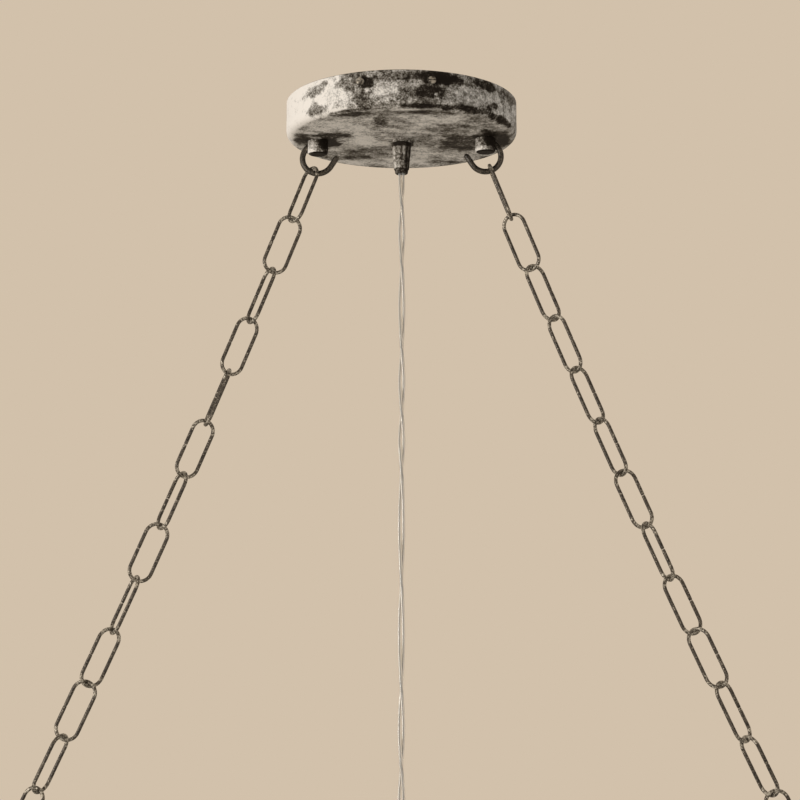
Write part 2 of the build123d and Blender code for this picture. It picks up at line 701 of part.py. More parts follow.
with BuildPart() as prism_form:
    for up in (-1, 1):
        with BuildSketch(Plane(origin=(0, 0, 0), x_dir=(1, 0, 0), z_dir=(0, 0, up))):
            RegularPolygon(PRISM_WIDTH / 2, PRISM_SIDES)
        extrude(amount=prism_body)
        with BuildSketch(Plane(origin=(0, 0, up * prism_body), x_dir=(1, 0, 0), z_dir=(0, 0, up))):
            RegularPolygon(PRISM_WIDTH / 2, PRISM_SIDES)
        extrude(amount=PRISM_POINT_LENGTH, taper=PRISM_POINT_TAPER)
    with Locations((0, 0, prism_length / 2), (0, 0, -prism_length / 2)):
        Cylinder(
            PIN_DIAMETER / 2 + SCREW_CLEARANCE, 2 * PIN_DEPTH + SCREW_CLEARANCE, mode=Mode.SUBTRACT
        )


def strand_row(length):
    """Places along a side of this clear length, evenly pitched about its middle."""
    count = int((length - PRISM_WIDTH) // STRAND_SPACING)
    return [STRAND_SPACING * (place - (count - 1) / 2) for place in range(count)]


long_side_places = [
    (x, side * (FRAME_WIDTH - RAIL_SIZE) / 2) for side in (-1, 1) for x in strand_row(inner_length)
]
short_side_places = [
    (side * (FRAME_LENGTH - RAIL_SIZE) / 2, y) for side in (-1, 1) for y in strand_row(inner_width)
]


def crystal_side(places, turn, label):
    """Octagons and prisms at these places, with the octagons turned to face out of the frame."""
    with BuildPart() as crystals:
        with Locations(*[Location((x, y, octagon_centre), (0, 0, turn)) for x, y in places]):
            add(octagon_form.part)
        with Locations(
            *[Location((x, y, prism_top - prism_length / 2), (0, 0, turn)) for x, y in places]
        ):
            add(prism_form.part)
    write(crystals.part, label)


crystal_side(long_side_places, 0, "long_side_crystals")
crystal_side(short_side_places, 90, "short_side_crystals")

with BuildPart() as crystal_pins:
    with BuildSketch(Plane.XY.offset(top_rail_bottom)):
        with Locations(*long_side_places, *short_side_places):
            Circle(PIN_DIAMETER / 2)
    extrude(amount=prism_top - PIN_DEPTH - top_rail_bottom)
    with BuildSketch(Plane.XY.offset(bottom_rail_top)):
        with Locations(*long_side_places, *short_side_places):
            Circle(PIN_DIAMETER / 2)
    extrude(amount=prism_bottom + PIN_DEPTH - bottom_rail_top)
write(crystal_pins.part, "crystal_pins")

# Centre drop: a faceted ball on a wire loop that hangs from an eye under the lamp bar
drop_eye_z = frame_bottom - DROP_EYE_RADIUS - (0.5 - WELD_SINK) * DROP_EYE_WIRE
drop_pivot_z = drop_eye_z - DROP_EYE_RADIUS
drop_loop_z = drop_pivot_z + DROP_EYE_WIRE / 2 + DROP_LOOP_WIRE / 2 + LOOSE_FIT - DROP_LOOP_RADIUS
drop_ball_top = drop_loop_z - DROP_LOOP_RADIUS - DROP_LOOP_WIRE / 2 - SCREW_CLEARANCE
drop_ball_centre = drop_ball_top - DROP_DIAMETER / 2

with BuildPart() as drop_eye:
    with Locations(Plane(origin=(0, 0, drop_eye_z), z_dir=(0, 1, 0))):
        Torus(DROP_EYE_RADIUS, DROP_EYE_WIRE / 2)
    split(bisect_by=Plane.XY.offset(frame_bottom), keep=Keep.BOTTOM)
write(drop_eye.part, "drop_eye")

with BuildPart() as drop_ball:
    for row in range(DROP_FACET_ROWS):
        rings = [pi * (row + step) / DROP_FACET_ROWS for step in (0, 1)]
        for angle in rings:
            ring_radius = max(DROP_DIAMETER / 2 * sin(angle), DROP_LOOP_WIRE)
            ring_z = drop_ball_centre + DROP_DIAMETER / 2 * cos(angle)
            with BuildSketch(Plane.XY.offset(ring_z)):
                RegularPolygon(ring_radius, DROP_SIDES)
        loft(ruled=True)
    with Locations((0, 0, drop_ball_top)):
        Cylinder(DROP_LOOP_WIRE / 2 + SCREW_CLEARANCE, 2 * PIN_DEPTH, mode=Mode.SUBTRACT)

with BuildPart() as drop_loop:
    with Locations(Plane(origin=(0, 0, drop_loop_z), z_dir=(1, 0, 0))):
        Torus(DROP_LOOP_RADIUS, DROP_LOOP_WIRE / 2)
    with Locations((0, 0, drop_loop_z - DROP_LOOP_RADIUS)):
        Cylinder(
            DROP_LOOP_WIRE / 2,
            DROP_LOOP_WIRE / 2 + PIN_DEPTH,
            align=(Align.CENTER, Align.CENTER, Align.MAX),
        )

with BuildPart() as centre_drop:
    add(drop_ball.part)
    add(drop_loop.part)
write(centre_drop.part, "centre_drop")

print(f"swing axis z {swing_z:.3f}, tilt axis z {tilt_z:.3f}, drop pivot z {drop_pivot_z:.3f}")
print(f"eyes x {eye_x:.3f}, frame top z {frame_top:.3f}, frame bottom z {frame_bottom:.3f}")
print(f"lamp bar top z {lamp_bar_top:.3f}, drop bottom z {drop_ball_top - DROP_DIAMETER:.3f}")
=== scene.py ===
import bmesh
import bpy
import numpy as np
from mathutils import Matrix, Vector


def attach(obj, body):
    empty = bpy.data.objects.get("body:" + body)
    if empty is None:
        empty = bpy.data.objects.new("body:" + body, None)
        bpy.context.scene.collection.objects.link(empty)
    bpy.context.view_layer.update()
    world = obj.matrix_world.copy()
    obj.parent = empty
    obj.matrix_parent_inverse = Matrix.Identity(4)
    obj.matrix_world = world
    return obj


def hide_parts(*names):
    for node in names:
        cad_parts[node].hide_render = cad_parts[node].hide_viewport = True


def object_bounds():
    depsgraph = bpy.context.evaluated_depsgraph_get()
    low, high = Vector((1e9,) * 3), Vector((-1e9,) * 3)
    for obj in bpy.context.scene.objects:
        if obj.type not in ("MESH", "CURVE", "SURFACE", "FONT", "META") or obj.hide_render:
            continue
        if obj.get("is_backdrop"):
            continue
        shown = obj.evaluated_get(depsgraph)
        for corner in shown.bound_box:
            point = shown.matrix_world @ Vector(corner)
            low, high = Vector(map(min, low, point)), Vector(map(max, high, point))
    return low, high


# Looks of a chandelier on two splayed chains. Sizes are in millimetres, as they are in the
# part's source, and become metres where a mesh is made.
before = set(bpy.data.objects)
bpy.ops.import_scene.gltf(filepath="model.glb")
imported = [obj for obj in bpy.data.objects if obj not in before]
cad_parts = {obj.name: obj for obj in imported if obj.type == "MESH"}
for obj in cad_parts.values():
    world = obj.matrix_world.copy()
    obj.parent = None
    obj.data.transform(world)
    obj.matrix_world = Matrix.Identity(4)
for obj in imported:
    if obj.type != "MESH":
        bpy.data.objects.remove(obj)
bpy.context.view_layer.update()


# Mounting strap, load bar and nuts, hidden in the canopy.
# Stamped from mild steel and zinc plated, so dull silver with faint crystal spangle.
# The strap is screwed to the junction box, and the nuts hold the hooks' studs to the load bar.
def linear(colour):
    """Linear RGBA of an sRGB hex colour: a channel c becomes c / 12.92 up to 0.04045, and
    ((c + 0.055) / 1.055) to the power 2.4 above it."""
    c = np.array([int(colour[i : i + 2], 16) for i in (1, 3, 5)]) / 255
    return (*np.where(c <= 0.04045, c / 12.92, ((c + 0.055) / 1.055) ** 2.4), 1.0)


def add(tree, kind, inputs=None, **settings):
    """Adds a shader node with its settings. An input takes a value, or a link from a socket."""
    made = tree.nodes.new("ShaderNode" + kind)
    for name, value in settings.items():
        setattr(made, name, value)
    for key, value in (inputs or {}).items():
        if isinstance(value, bpy.types.NodeSocket):
            tree.links.new(value, made.inputs[key])
        else:
            made.inputs[key].default_value = value
    return made


def start_finish(name, **sockets):
    """A new material with one surface shader: the material, its tree, the shader and the place
    on the object, in metres."""
    finish = bpy.data.materials.new(name)
    finish.use_nodes = True
    tree = finish.node_tree
    tree.nodes.clear()
    shader = add(tree, "BsdfPrincipled", sockets)
    add(tree, "OutputMaterial", {"Surface": shader.outputs[0]})
    return finish, tree, shader, add(tree, "TexCoord").outputs["Object"]


def two_tone(tree, shader, amount, one, other):
    """Colours a finish between two sRGB hex tones: one where amount is 0, and other where it
    is 1."""
    tone = add(tree, "Mix", {0: amount, 6: linear(one), 7: linear(other)}, data_type="RGBA")
    tree.links.new(tone.outputs[2], shader.inputs["Base Color"])


def roughen(tree, shader, amount, seen, roughness):
    """Roughness between two values, as an amount goes from one seen value to the other."""
    spread = add(tree, "MapRange", {"Value": amount, "From Min": seen[0], "From Max": seen[1],
                                    "To Min": roughness[0], "To Max": roughness[1]})
    tree.links.new(spread.outputs[0], shader.inputs["Roughness"])


def dress(finish, slot, *names):
    """Gives CAD nodes their finish."""
    for name in names:
        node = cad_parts[name]
        for place in node.material_slots:
            place.material = finish


# Zinc plate: a metal, with spangle crystals of about 2.5 mm and a fine bloom over them.
zinc, tree, shader, place = start_finish("zinc_plated_steel", Metallic=1.0)
spangle = add(tree, "TexVoronoi", {"Vector": place, "Scale": 1 / 0.0025})
bloom = add(tree, "TexNoise", {"Vector": place, "Scale": 1 / 0.0012, "Detail": 4.0})
two_tone(tree, shader, spangle.outputs["Color"], "#A9ABA8", "#C9CAC6")
roughen(tree, shader, bloom.outputs["Fac"], (0.3, 0.7), (0.32, 0.55))
dress(zinc, "zinc_steel", "mounting_plate", "load_bar", "hook_nuts", "cord_grip_nut", "eye_nuts")


# Ground screw: steel, dipped in green paint so that an electrician knows it.
# The paint is thin and satin, and has rubbed through to grey on its high spots.
green, tree, shader, place = start_finish("green_screw_paint", Roughness=0.42)
rub = add(tree, "TexNoise", {"Vector": place, "Scale": 1 / 0.0015, "Detail": 3.0})
bare = add(tree, "MapRange", {"Value": rub.outputs["Fac"], "From Min": 0.6, "From Max": 0.66})
two_tone(tree, shader, bare.outputs[0], "#2E6B3C", "#7C8A7B")
dress(green, "green_paint", "ground_screw")


# Canopy: a dish spun from 1.2 mm steel, with a rolled lower edge, painted dark bronze and then
# whitewashed by hand. The wash is rubbed back in ragged, speckled patches, most of all at the
# front around the screws, along the rolled edge and around the hooks. Some near-black patches are
# painted shadows: of the left screw on the wall, and of the knobs and the grip's collar underneath.
def skin(grid, loop=False, cover=None):
    """Points and faces of a surface from rows of points, shape (rows, columns, 3). Every row is a
    closed ring, and a face spans each pair of neighbours in two neighbouring rows. With loop the
    last row joins the first, and otherwise one face closes each end. cover is a number at each
    point: the whitewash left on it, from 0 for bare bronze to 1 for full cream, or on iron how
    much it chafes. On the canopy, knobs and grips it also carries painted shadows, shading and
    highlights."""
    rows, columns = grid.shape[:2]
    number = np.arange(rows * columns).reshape(rows, columns)
    low = number if loop else number[:-1]
    high = np.roll(number, -1, 0) if loop else number[1:]
    cells = np.stack([low, np.roll(low, -1, 1), np.roll(high, -1, 1), high], -1)
    faces = cells.reshape(-1, 4).tolist()
    if not loop:
        faces += [number[0].tolist(), number[-1].tolist()]
    amount = np.zeros((rows, columns)) if cover is None else np.broadcast_to(cover, (rows, columns))
    return grid.reshape(-1, 3), faces, amount.ravel()


def piece(name, skins, finish, body, nodes=(), crease=35):
    """One mesh object from skins in millimetres: closed, its faces turned outwards, smooth except
    where it bends by more than crease degrees, and riding on a body in place of CAD nodes."""
    starts = np.cumsum([0] + [len(points) for points, _, _ in skins])
    mesh = bpy.data.meshes.new(name)
    mesh.from_pydata(
        (np.concatenate([points for points, _, _ in skins]) / 1000).tolist(),
        [],
        [[int(start) + corner for corner in face]
         for start, (_, faces, _) in zip(starts, skins) for face in faces],
    )
    cover = mesh.attributes.new("cover", "FLOAT", "POINT")
    cover.data.foreach_set("value", np.concatenate([amount for _, _, amount in skins]))
    turned = bmesh.new()
    turned.from_mesh(mesh)
    bmesh.ops.recalc_face_normals(turned, faces=turned.faces)
    turned.to_mesh(mesh)
    turned.free()
    mesh.polygons.foreach_set("use_smooth", np.ones(len(mesh.polygons), bool))
    mesh.set_sharp_from_angle(angle=np.radians(crease))
    mesh.materials.append(finish)
    made = bpy.data.objects.new(name, mesh)
    bpy.context.scene.collection.objects.link(made)
    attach(made, body)
    if nodes:
        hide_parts(*nodes)
    return made


def arc(centre, radius, first, last, steps):
    """Points on a circle, radius * (cos a, sin a) from its centre, for a from first to last
    degrees."""
    a = np.radians(np.linspace(first, last, steps))
    return np.stack([centre[0] + radius * np.cos(a), centre[1] + radius * np.sin(a)], -1)


def line(start, end, steps):
    """Evenly spaced points from start up to, and not including, end."""
    return np.linspace(start, end, steps, endpoint=False)


def lathe(profile, centre=(0, 0), sides=96):
    """Surface of revolution: each (radius, height) of the profile becomes a level ring,
    (x + radius cos a, y + radius sin a, height)."""
    a = np.linspace(0, 2 * np.pi, sides, endpoint=False)
    r, z = np.asarray(profile, float).T[:, :, None]
    return np.stack([centre[0] + r * np.cos(a), centre[1] + r * np.sin(a), z + 0 * a], -1)


CANOPY_RADIUS = 70.0
CANOPY_FLOOR = -22.0
CANOPY_SHEET = 1.2
CANOPY_EDGE = 4.5
CANOPY_LIP = 0.3
CANOPY_HOLE_RADIUS = 4.95
CANOPY_SIDES = 480
UNDERSIDE_RINGS = 60
WALL_RINGS = 22
# The wall's wash takes over from the underside's on the rolled edge, 64 to 67 mm from the axis
WALL_WASH_FROM = 64.0
WALL_WASH_FADE = 3.0
# Hand-rubbed patches of the wall: degrees round from the front, height, half width, half height
# and how much wash is left. A later patch lies over an earlier one. The near-black patch just right
# of the left screw, at -14.5 degrees, is a painted shadow of the screw, and the cream line on the
# rolled edge at -30 degrees is partly worn wash and partly a painted highlight
WALL_WASH = 0.50
WALL_PATCHES_AND_SHADOWS = (
    (-64, -11, 46, 24, 1.02), (66, -10, 24, 24, 0.60), (-43, -6.5, 8.5, 3.8, 0.5),
    (-52, -8.4, 4, 2.2, 0.72), (-43, -18, 9.5, 3.2, 0.52), (-43.5, -15, 4.2, 2.8, 0.54),
    (-36.5, -3.6, 2.5, 2, 0.45), (-30, -8, 7, 5, 0.72), (-31, -2.8, 4, 1.5, 1.0),
    (-28, -14.5, 9, 6, 0.82), (-20, -5.5, 10.5, 5.8, 0.38), (-15.5, -16, 5.6, 5.4, 0.34),
    (-4, -12.5, 8.5, 6, 0.66), (-2, -3.6, 11, 3.4, 0.38), (5, -13, 5, 6, 0.42),
    (-14.5, -6.6, 4.4, 3.8, 0.03), (15, -12.5, 8.5, 4.4, 0.10), (20, -4, 15.5, 4.2, 0.04),
    (37, -12.5, 12, 5, 0.60), (38, -3.8, 6, 3.2, 0.42), (48.5, -3.2, 8.5, 3.2, 0.10),
    (69, -4, 14, 4, 0.36), (49.5, -17, 2.6, 2.8, 0.16), (54, -13.6, 3.4, 2, 0.2),
    (11.5, -20.8, 11, 1.1, 0.16), (37, -19.7, 12, 1.8, 0.12), (23, -20.5, 10, 1.0, 0.16),
    (47, -19.0, 7, 1.5, 0.26), (61, -20, 16, 1.8, 0.12), (19, -13.8, 1.2, 1.0, 0.7),
    (-14, -11.4, 1.6, 1.2, 0.86), (-30, -20.2, 7, 0.9, 0.95), (-26, -21.5, 10, 0.6, 0.35),
    (116, -13, 20, 8, 0.92), (122, -4, 16, 3.5, 0.12), (150, -7, 13, 5, 0.2),
    (152, -17, 12, 4.5, 0.84), (-132, -12, 24, 11, 0.95), (-148, -5, 11, 4, 0.1),
    (-118, -18, 9, 3, 0.4), (-162, -15, 11, 5, 0.34), (134, -20.5, 14, 1.5, 0.1),
)
# The same of its underside: x, y, half length, half width and wash left. The near-black patches
# just right of each knob, and right of and behind the grip's collar, are painted shadows that these
# cast
UNDERSIDE_WASH = 0.62
UNDERSIDE_MOTTLE = 0.08
UNDERSIDE_PATCHES_AND_SHADOWS = (
    (-40, -32, 20, 14, 0.76), (-22, -10, 8, 22, 0.76), (20, -44, 22, 9, 0.70),
    (12, 42, 22, 14, 0.76), (-28, -57, 14, 5.5, 0.24), (22, -58, 15, 5, 0.28),
    (0, -65, 18, 3.5, 0.85), (-10, -42, 4.5, 12, 0.3), (2, -28, 14, 11, 0.70),
    (-30, 38, 10, 5, 0.34), (-42, -12, 12, 6, 0.30), (-60, -6, 6, 12, 0.32),
    (-54, -18, 5, 3, 0.85), (36, 8, 13, 20, 0.26), (56, 0, 13, 20, 0.04), (-46, 4, 8, 11, 0.03),
    (1.5, 10, 5.5, 8, 0.0), (-40, 50, 8, 6, 0.85), (24, 52, 12, 4, 0.42),
    (30, -23, 15, 10, 0.44), (50, -40, 11, 7, 0.36), (-24, 22, 10, 5, 0.45),
)


def mottle(grid, shortest, longest, seed):
    """Smooth random mottle with a spread of 1: 16 sine waves of the place, in random directions
    and with lengths from shortest to longest, summed and divided by the root of 8."""
    random = np.random.default_rng(seed)
    ways = random.normal(size=(16, 3))
    ways /= np.linalg.norm(ways, axis=1, keepdims=True)
    waves = ways * 2 * np.pi / random.uniform(shortest, longest, (16, 1))
    return np.sin(grid @ waves.T + random.uniform(0, 2 * np.pi, 16)).sum(-1) / np.sqrt(8)


RAGGED = 0.25


def patch(across, along):
    """A patch's strength from distances in half widths: with d squared the sum of their squares,
    times 1 plus RAGGED of the ragged mottle, but at least 0.4, it is exp(-d ** 8): 1 inside and
    soon 0 outside."""
    return np.exp(-(((across**2 + along**2) * np.maximum(1 + RAGGED * rough, 0.4)) ** 4))


curl = (CANOPY_RADIUS - CANOPY_EDGE, CANOPY_FLOOR + CANOPY_EDGE)
inside_floor = CANOPY_FLOOR + CANOPY_SHEET
outer = np.concatenate([
    np.stack([line(CANOPY_HOLE_RADIUS, curl[0], UNDERSIDE_RINGS),
              np.full(UNDERSIDE_RINGS, CANOPY_FLOOR)], -1),
    arc(curl, CANOPY_EDGE, -90, 0, steps=14),
    np.stack([np.full(WALL_RINGS, CANOPY_RADIUS),
              np.linspace(curl[1] + 0.8, -CANOPY_LIP, WALL_RINGS)], -1),
])
inner = np.concatenate([
    [(CANOPY_RADIUS - CANOPY_LIP, 0), (CANOPY_RADIUS - CANOPY_SHEET + CANOPY_LIP, 0),
     (CANOPY_RADIUS - CANOPY_SHEET, -CANOPY_LIP)],
    arc(curl, CANOPY_EDGE - CANOPY_SHEET, 0, -90, steps=10),
    [(40, inside_floor), (CANOPY_HOLE_RADIUS, inside_floor)],
])
dish = lathe(np.concatenate([outer, inner]), sides=CANOPY_SIDES)
rough = mottle(dish, shortest=4, longest=13, seed=1)
x, y, z = np.moveaxis(dish, -1, 0)
round_front = np.degrees(np.arctan2(x, -y))
outside = np.arange(len(dish))[:, None] < len(outer)
on_wall = np.clip((np.hypot(x, y) - WALL_WASH_FROM) / WALL_WASH_FADE, 0, 1) * outside
on_underside = (1 - on_wall) * outside
# Wash left over the dish, with painted shadows of the left screw, the knobs and the grip's collar
# among its patches
wash_and_shadows = WALL_WASH * on_wall + UNDERSIDE_WASH * on_underside
for turn, height, wide, high, left in WALL_PATCHES_AND_SHADOWS:
    along = np.radians(round_front - turn) * CANOPY_RADIUS
    wash_and_shadows += on_wall * patch(along / wide, (z - height) / high) * (left - wash_and_shadows)
for middle_x, middle_y, wide, deep, left in UNDERSIDE_PATCHES_AND_SHADOWS:
    wash_and_shadows += on_underside * patch((x - middle_x) / wide, (y - middle_y) / deep) * (left - wash_and_shadows)
wash_and_shadows += UNDERSIDE_MOTTLE * on_underside * mottle(dish, shortest=9, longest=45, seed=2)

# Whitewash on dark bronze: near-black bronze, a grey-taupe glaze where the wash is thin, and
# cream where it is thick. It breaks up in rags of 14 mm, frays of 5 and 2 mm, a speckle of
# 0.8 mm and brush strokes 3 mm high and 12 mm long. It is chalky, so it hardly shines.
WASH_GRAINS = ((0.014, 0.45), (0.005, 0.75), (0.002, 0.75), (0.0008, 1.1))
STROKE_WIDTH = 0.003
STROKE_SHAPE = (0.25, 0.6, 1.0)
STROKE_GAIN = 0.45
WASH_TONES = (
    (0.0, "#1E1914"), (0.2, "#2C2620"), (0.36, "#5C554C"), (0.5, "#8B857C"), (0.66, "#B5AEA6"),
    (0.8, "#DBD4CB"), (0.95, "#EAE2D9"),
)
whitewash, tree, shader, place = start_finish("whitewashed_dark_bronze",
                                              **{"Specular IOR Level": 0.03})
# The cover attribute: the wash left, and on the canopy, knobs and grips also painted shadows,
# shading and highlights, all turned into tones below
wash_and_shade_left = add(tree, "Attribute", attribute_name="cover").outputs["Fac"]
drawn_out = add(tree, "VectorMath", {0: place, 1: STROKE_SHAPE}, operation="MULTIPLY").outputs[0]
for where, size, gain in (*((place, *grain) for grain in WASH_GRAINS),
                          (drawn_out, STROKE_WIDTH, STROKE_GAIN)):
    grain = add(tree, "TexNoise", {"Vector": where, "Scale": 1 / size, "Detail": 3.0,
                                   "Roughness": 0.62})
    centred = add(tree, "Math", {0: grain.outputs["Fac"], 1: -0.5}, operation="ADD")
    wash_and_shade_left = add(tree, "Math", {0: centred.outputs[0], 1: gain, 2: wash_and_shade_left},
                    operation="MULTIPLY_ADD").outputs[0]
tones = add(tree, "ValToRGB", {"Fac": wash_and_shade_left})
tones.color_ramp.elements.remove(tones.color_ramp.elements[0])
for spot, (amount, colour) in enumerate(WASH_TONES):
    tone = tones.color_ramp.elements.new(amount) if spot else tones.color_ramp.elements[0]
    tone.position = amount
    tone.color = linear(colour)
tree.links.new(tones.outputs["Color"], shader.inputs["Base Color"])
roughen(tree, shader, wash_and_shade_left, (0, 1), (0.5, 0.8))
raised = add(tree, "Bump", {"Height": wash_and_shade_left, "Strength": 0.3, "Distance": 0.00015})
tree.links.new(raised.outputs[0], shader.inputs["Normal"])

piece("canopy_dish", [skin(dish, loop=True, cover=wash_and_shadows)], whitewash, "canopy",
      ["canopy_shell"])


# Side screws: round slotted heads that hold the canopy to the strap. They have the same bronze,
# rubbed by fingers and screwdrivers to bare grey steel in blots of 2 mm that catch the light.
rubbed_steel, tree, shader, place = start_finish("rubbed_screw_steel", Metallic=0.5, Roughness=0.45)
blot = add(tree, "TexNoise", {"Vector": place, "Scale": 1 / 0.002, "Detail": 3.0})
bare = add(tree, "MapRange", {"Value": blot.outputs["Fac"], "From Min": 0.42, "From Max": 0.56})
two_tone(tree, shader, bare.outputs[0], "#3A342C", "#9A9286")
dress(rubbed_steel, "distressed_paint", "canopy_side_screws")


# Hook knobs: turned from steel bar with softened edges, washed like the canopy.
# Each screws up against the canopy, and its stud passes through the load bar to a nut.
HOOK_X = 51.0
KNOB_RADIUS = 6.2
KNOB_BOTTOM = -30.6
KNOB_EDGE = 1.8
STUD_RADIUS = 2.5
STUD_TOP = -13.1
# Wash left on a knob, with painted light and shade: the left half painted lighter and the right
# darker as if lit from the left, painted shade growing towards the canopy, a painted highlight
# round the lower edge, and painted shade making the flat bottom dark. The left knob keeps a
# little more wash than the right one
KNOB_WASH = 0.38
KNOB_WASH_MORE = 0.05
KNOB_PAINTED_LIGHT_LEFT = 0.32
KNOB_PAINTED_SHADE_UP = 0.03
KNOB_PAINTED_HIGHLIGHT = 0.25
KNOB_HIGHLIGHT_HEIGHT = 1.6
KNOB_UNDERSIDE_SHADE = 0.7
knob_profile = np.concatenate([
    [(0.4, KNOB_BOTTOM), (2.8, KNOB_BOTTOM)],
    line((3.4, KNOB_BOTTOM), (KNOB_RADIUS - KNOB_EDGE, KNOB_BOTTOM), steps=3),
    arc((KNOB_RADIUS - KNOB_EDGE, KNOB_BOTTOM + KNOB_EDGE), KNOB_EDGE, -90, 0, steps=8),
    line((KNOB_RADIUS, KNOB_BOTTOM + KNOB_EDGE + 0.6), (KNOB_RADIUS, CANOPY_FLOOR - 0.3), steps=8),
    [(KNOB_RADIUS, CANOPY_FLOOR - 0.3), (KNOB_RADIUS - 0.3, CANOPY_FLOOR),
     (STUD_RADIUS, CANOPY_FLOOR + 0.01), (STUD_RADIUS, STUD_TOP - 0.4),
     (STUD_RADIUS - 0.4, STUD_TOP), (0.4, STUD_TOP)],
])
for side, hand in ((-1, "left"), (1, "right")):
    knob = lathe(knob_profile, (side * HOOK_X, 0))
    turned_right = (knob[..., 0] - side * HOOK_X) / KNOB_RADIUS
    up = knob[..., 2] - KNOB_BOTTOM
    # Painted light and shade on the wash: lighter left, darker right and upwards, a highlight band
    # and a dark bottom
    wash_and_shading = KNOB_WASH - KNOB_WASH_MORE * side - KNOB_PAINTED_LIGHT_LEFT * np.tanh(3 * turned_right)
    wash_and_shading = wash_and_shading - KNOB_PAINTED_SHADE_UP * up
    wash_and_shading += KNOB_PAINTED_HIGHLIGHT * (np.abs(up - KNOB_HIGHLIGHT_HEIGHT) < 1)
    wash_and_shading -= KNOB_UNDERSIDE_SHADE * (up < 0.5)
    piece(f"{hand}_knob", [skin(knob, cover=wash_and_shading)], whitewash, "canopy",
          [f"{hand}_hook_knob"])


# Chain hooks: 3.5 mm iron wire bent to an open C, its outer end set in the knob and its free tip
# pointing inwards. The wire is hammered and painted dark bronze.
def sweep(path, radius, across, sides=20, loop=False, cover=None):
    """Tube along a path: each point carries a ring, radius * (cos a * s + sin a * u), where s is
    across less its part along the path, u is at right angles to s and the path, and radius may
    change from point to point."""
    ahead = np.roll(path, -1, 0) - np.roll(path, 1, 0) if loop else np.gradient(path, axis=0)
    ahead = ahead / np.linalg.norm(ahead, axis=1, keepdims=True)
    sideways = across - (ahead @ np.asarray(across, float))[:, None] * ahead
    sideways = sideways / np.linalg.norm(sideways, axis=1, keepdims=True)
    upwards = np.cross(ahead, sideways)
    a = np.linspace(0, 2 * np.pi, sides, endpoint=False)[None, :, None]
    r = np.broadcast_to(radius, len(path))[:, None, None]
    grid = path[:, None] + r * (np.cos(a) * sideways[:, None] + np.sin(a) * upwards[:, None])
    return skin(grid, loop, cover)


RING_Z = -33.0
RING_RADIUS = 9.4
RING_WIRE_RADIUS = 1.75
HOOK_START = 118
HOOK_BEND_END = 327
HOOK_TIP = 7.9

# Dark bronze on iron: nearly black brown paint, rubbed to grey-brown metal and flecked with the
# pale wash. Rub marks are about 3 mm and flecks 0.9 mm, and both grow with the cover attribute,
# which says how much a place chafes: not at all on hooks and eyes, and most at the links' ends.
iron, tree, shader, place = start_finish("dark_bronzed_iron", Metallic=0.35)
rubbed = add(tree, "TexNoise", {"Vector": place, "Scale": 1 / 0.003, "Detail": 4.0,
                                "Roughness": 0.65})
fleck = add(tree, "TexNoise", {"Vector": place, "Scale": 1 / 0.0009, "Detail": 2.0})
uneven = add(tree, "Math", {0: rubbed.outputs["Fac"], 1: 0.8, 2: fleck.outputs["Fac"]},
             operation="MULTIPLY_ADD")
chafed = add(tree, "Attribute", attribute_name="cover")
wear = add(tree, "Math", {0: chafed.outputs["Fac"], 1: 0.5, 2: uneven.outputs[0]},
           operation="MULTIPLY_ADD")
rub = add(tree, "MapRange", {"Value": wear.outputs[0], "From Min": 0.8, "From Max": 1.15})
dark = add(tree, "Mix", {0: rub.outputs[0], 6: linear("#231E18"), 7: linear("#62594D")},
           data_type="RGBA")
pale_fleck = add(tree, "MapRange", {"Value": wear.outputs[0], "From Min": 1.12, "From Max": 1.22})
flecked = add(tree, "Mix", {0: pale_fleck.outputs[0], 6: dark.outputs[2], 7: linear("#B4AB9B")},
              data_type="RGBA")
tree.links.new(flecked.outputs[2], shader.inputs["Base Color"])
roughen(tree, shader, rubbed.outputs["Fac"], (0.3, 0.7), (0.36, 0.55))
hammered = add(tree, "Bump", {"Height": rubbed.outputs["Fac"], "Strength": 0.45,
                              "Distance": 0.0004})
tree.links.new(hammered.outputs[0], shader.inputs["Normal"])

for side, hand in ((-1, "left"), (1, "right")):
    bend = arc((0, RING_Z), RING_RADIUS, HOOK_START, HOOK_BEND_END, steps=60)
    last = np.radians(HOOK_BEND_END)
    reach = np.linspace(0.04, 1, 14)[:, None] * HOOK_TIP
    tip = bend[-1] + reach * (-np.sin(last), np.cos(last))
    flat = np.concatenate([bend, tip])
    path = np.stack([side * HOOK_X - side * flat[:, 0], 0 * flat[:, 0], flat[:, 1]], -1)
    # The tip is rounded off: the wire's radius follows a quarter circle over its last 1.75 mm
    to_end = np.clip(np.linalg.norm(path - path[-1], axis=1) / RING_WIRE_RADIUS, 0.12, 1)
    thickness = RING_WIRE_RADIUS * np.sqrt(1 - (1 - to_end) ** 2)
    piece(f"{hand}_hook", [sweep(path, thickness, (0, 1, 0))],
          iron, "canopy", [f"{hand}_chain_hook"], crease=60)


# Cord grips: a turned collar, a fluted tapering barrel and a narrow tip, bored for the cord, on a
# threaded shank. One screws into the canopy and one into the hanger bar, and each squeezes
# the cord. Washed, with painted shading that makes the left side light and the right side dark,
# a painted shadow band just under the collar, and rubbed dark at the tip.
FLUTES = 10
FLUTE_DEPTH = 0.03
COLLAR_RADIUS = 6.0
COLLAR_HEIGHT = 2.4
BARREL_RADIUS = 6.1
BARREL_HEIGHT = 16.3
BARREL_SLOPE = 0.0875
COLLAR_SHADOW_BAND = 2.8
GRIP_TIP_RADIUS = 4.2
GRIP_TIP_SLOPE = 0.176
SHANK_RADIUS = 4.8
THREAD_PITCH = 1.0
THREAD_DEPTH = 0.35
GRIP_BORE_RADIUS = 2.55


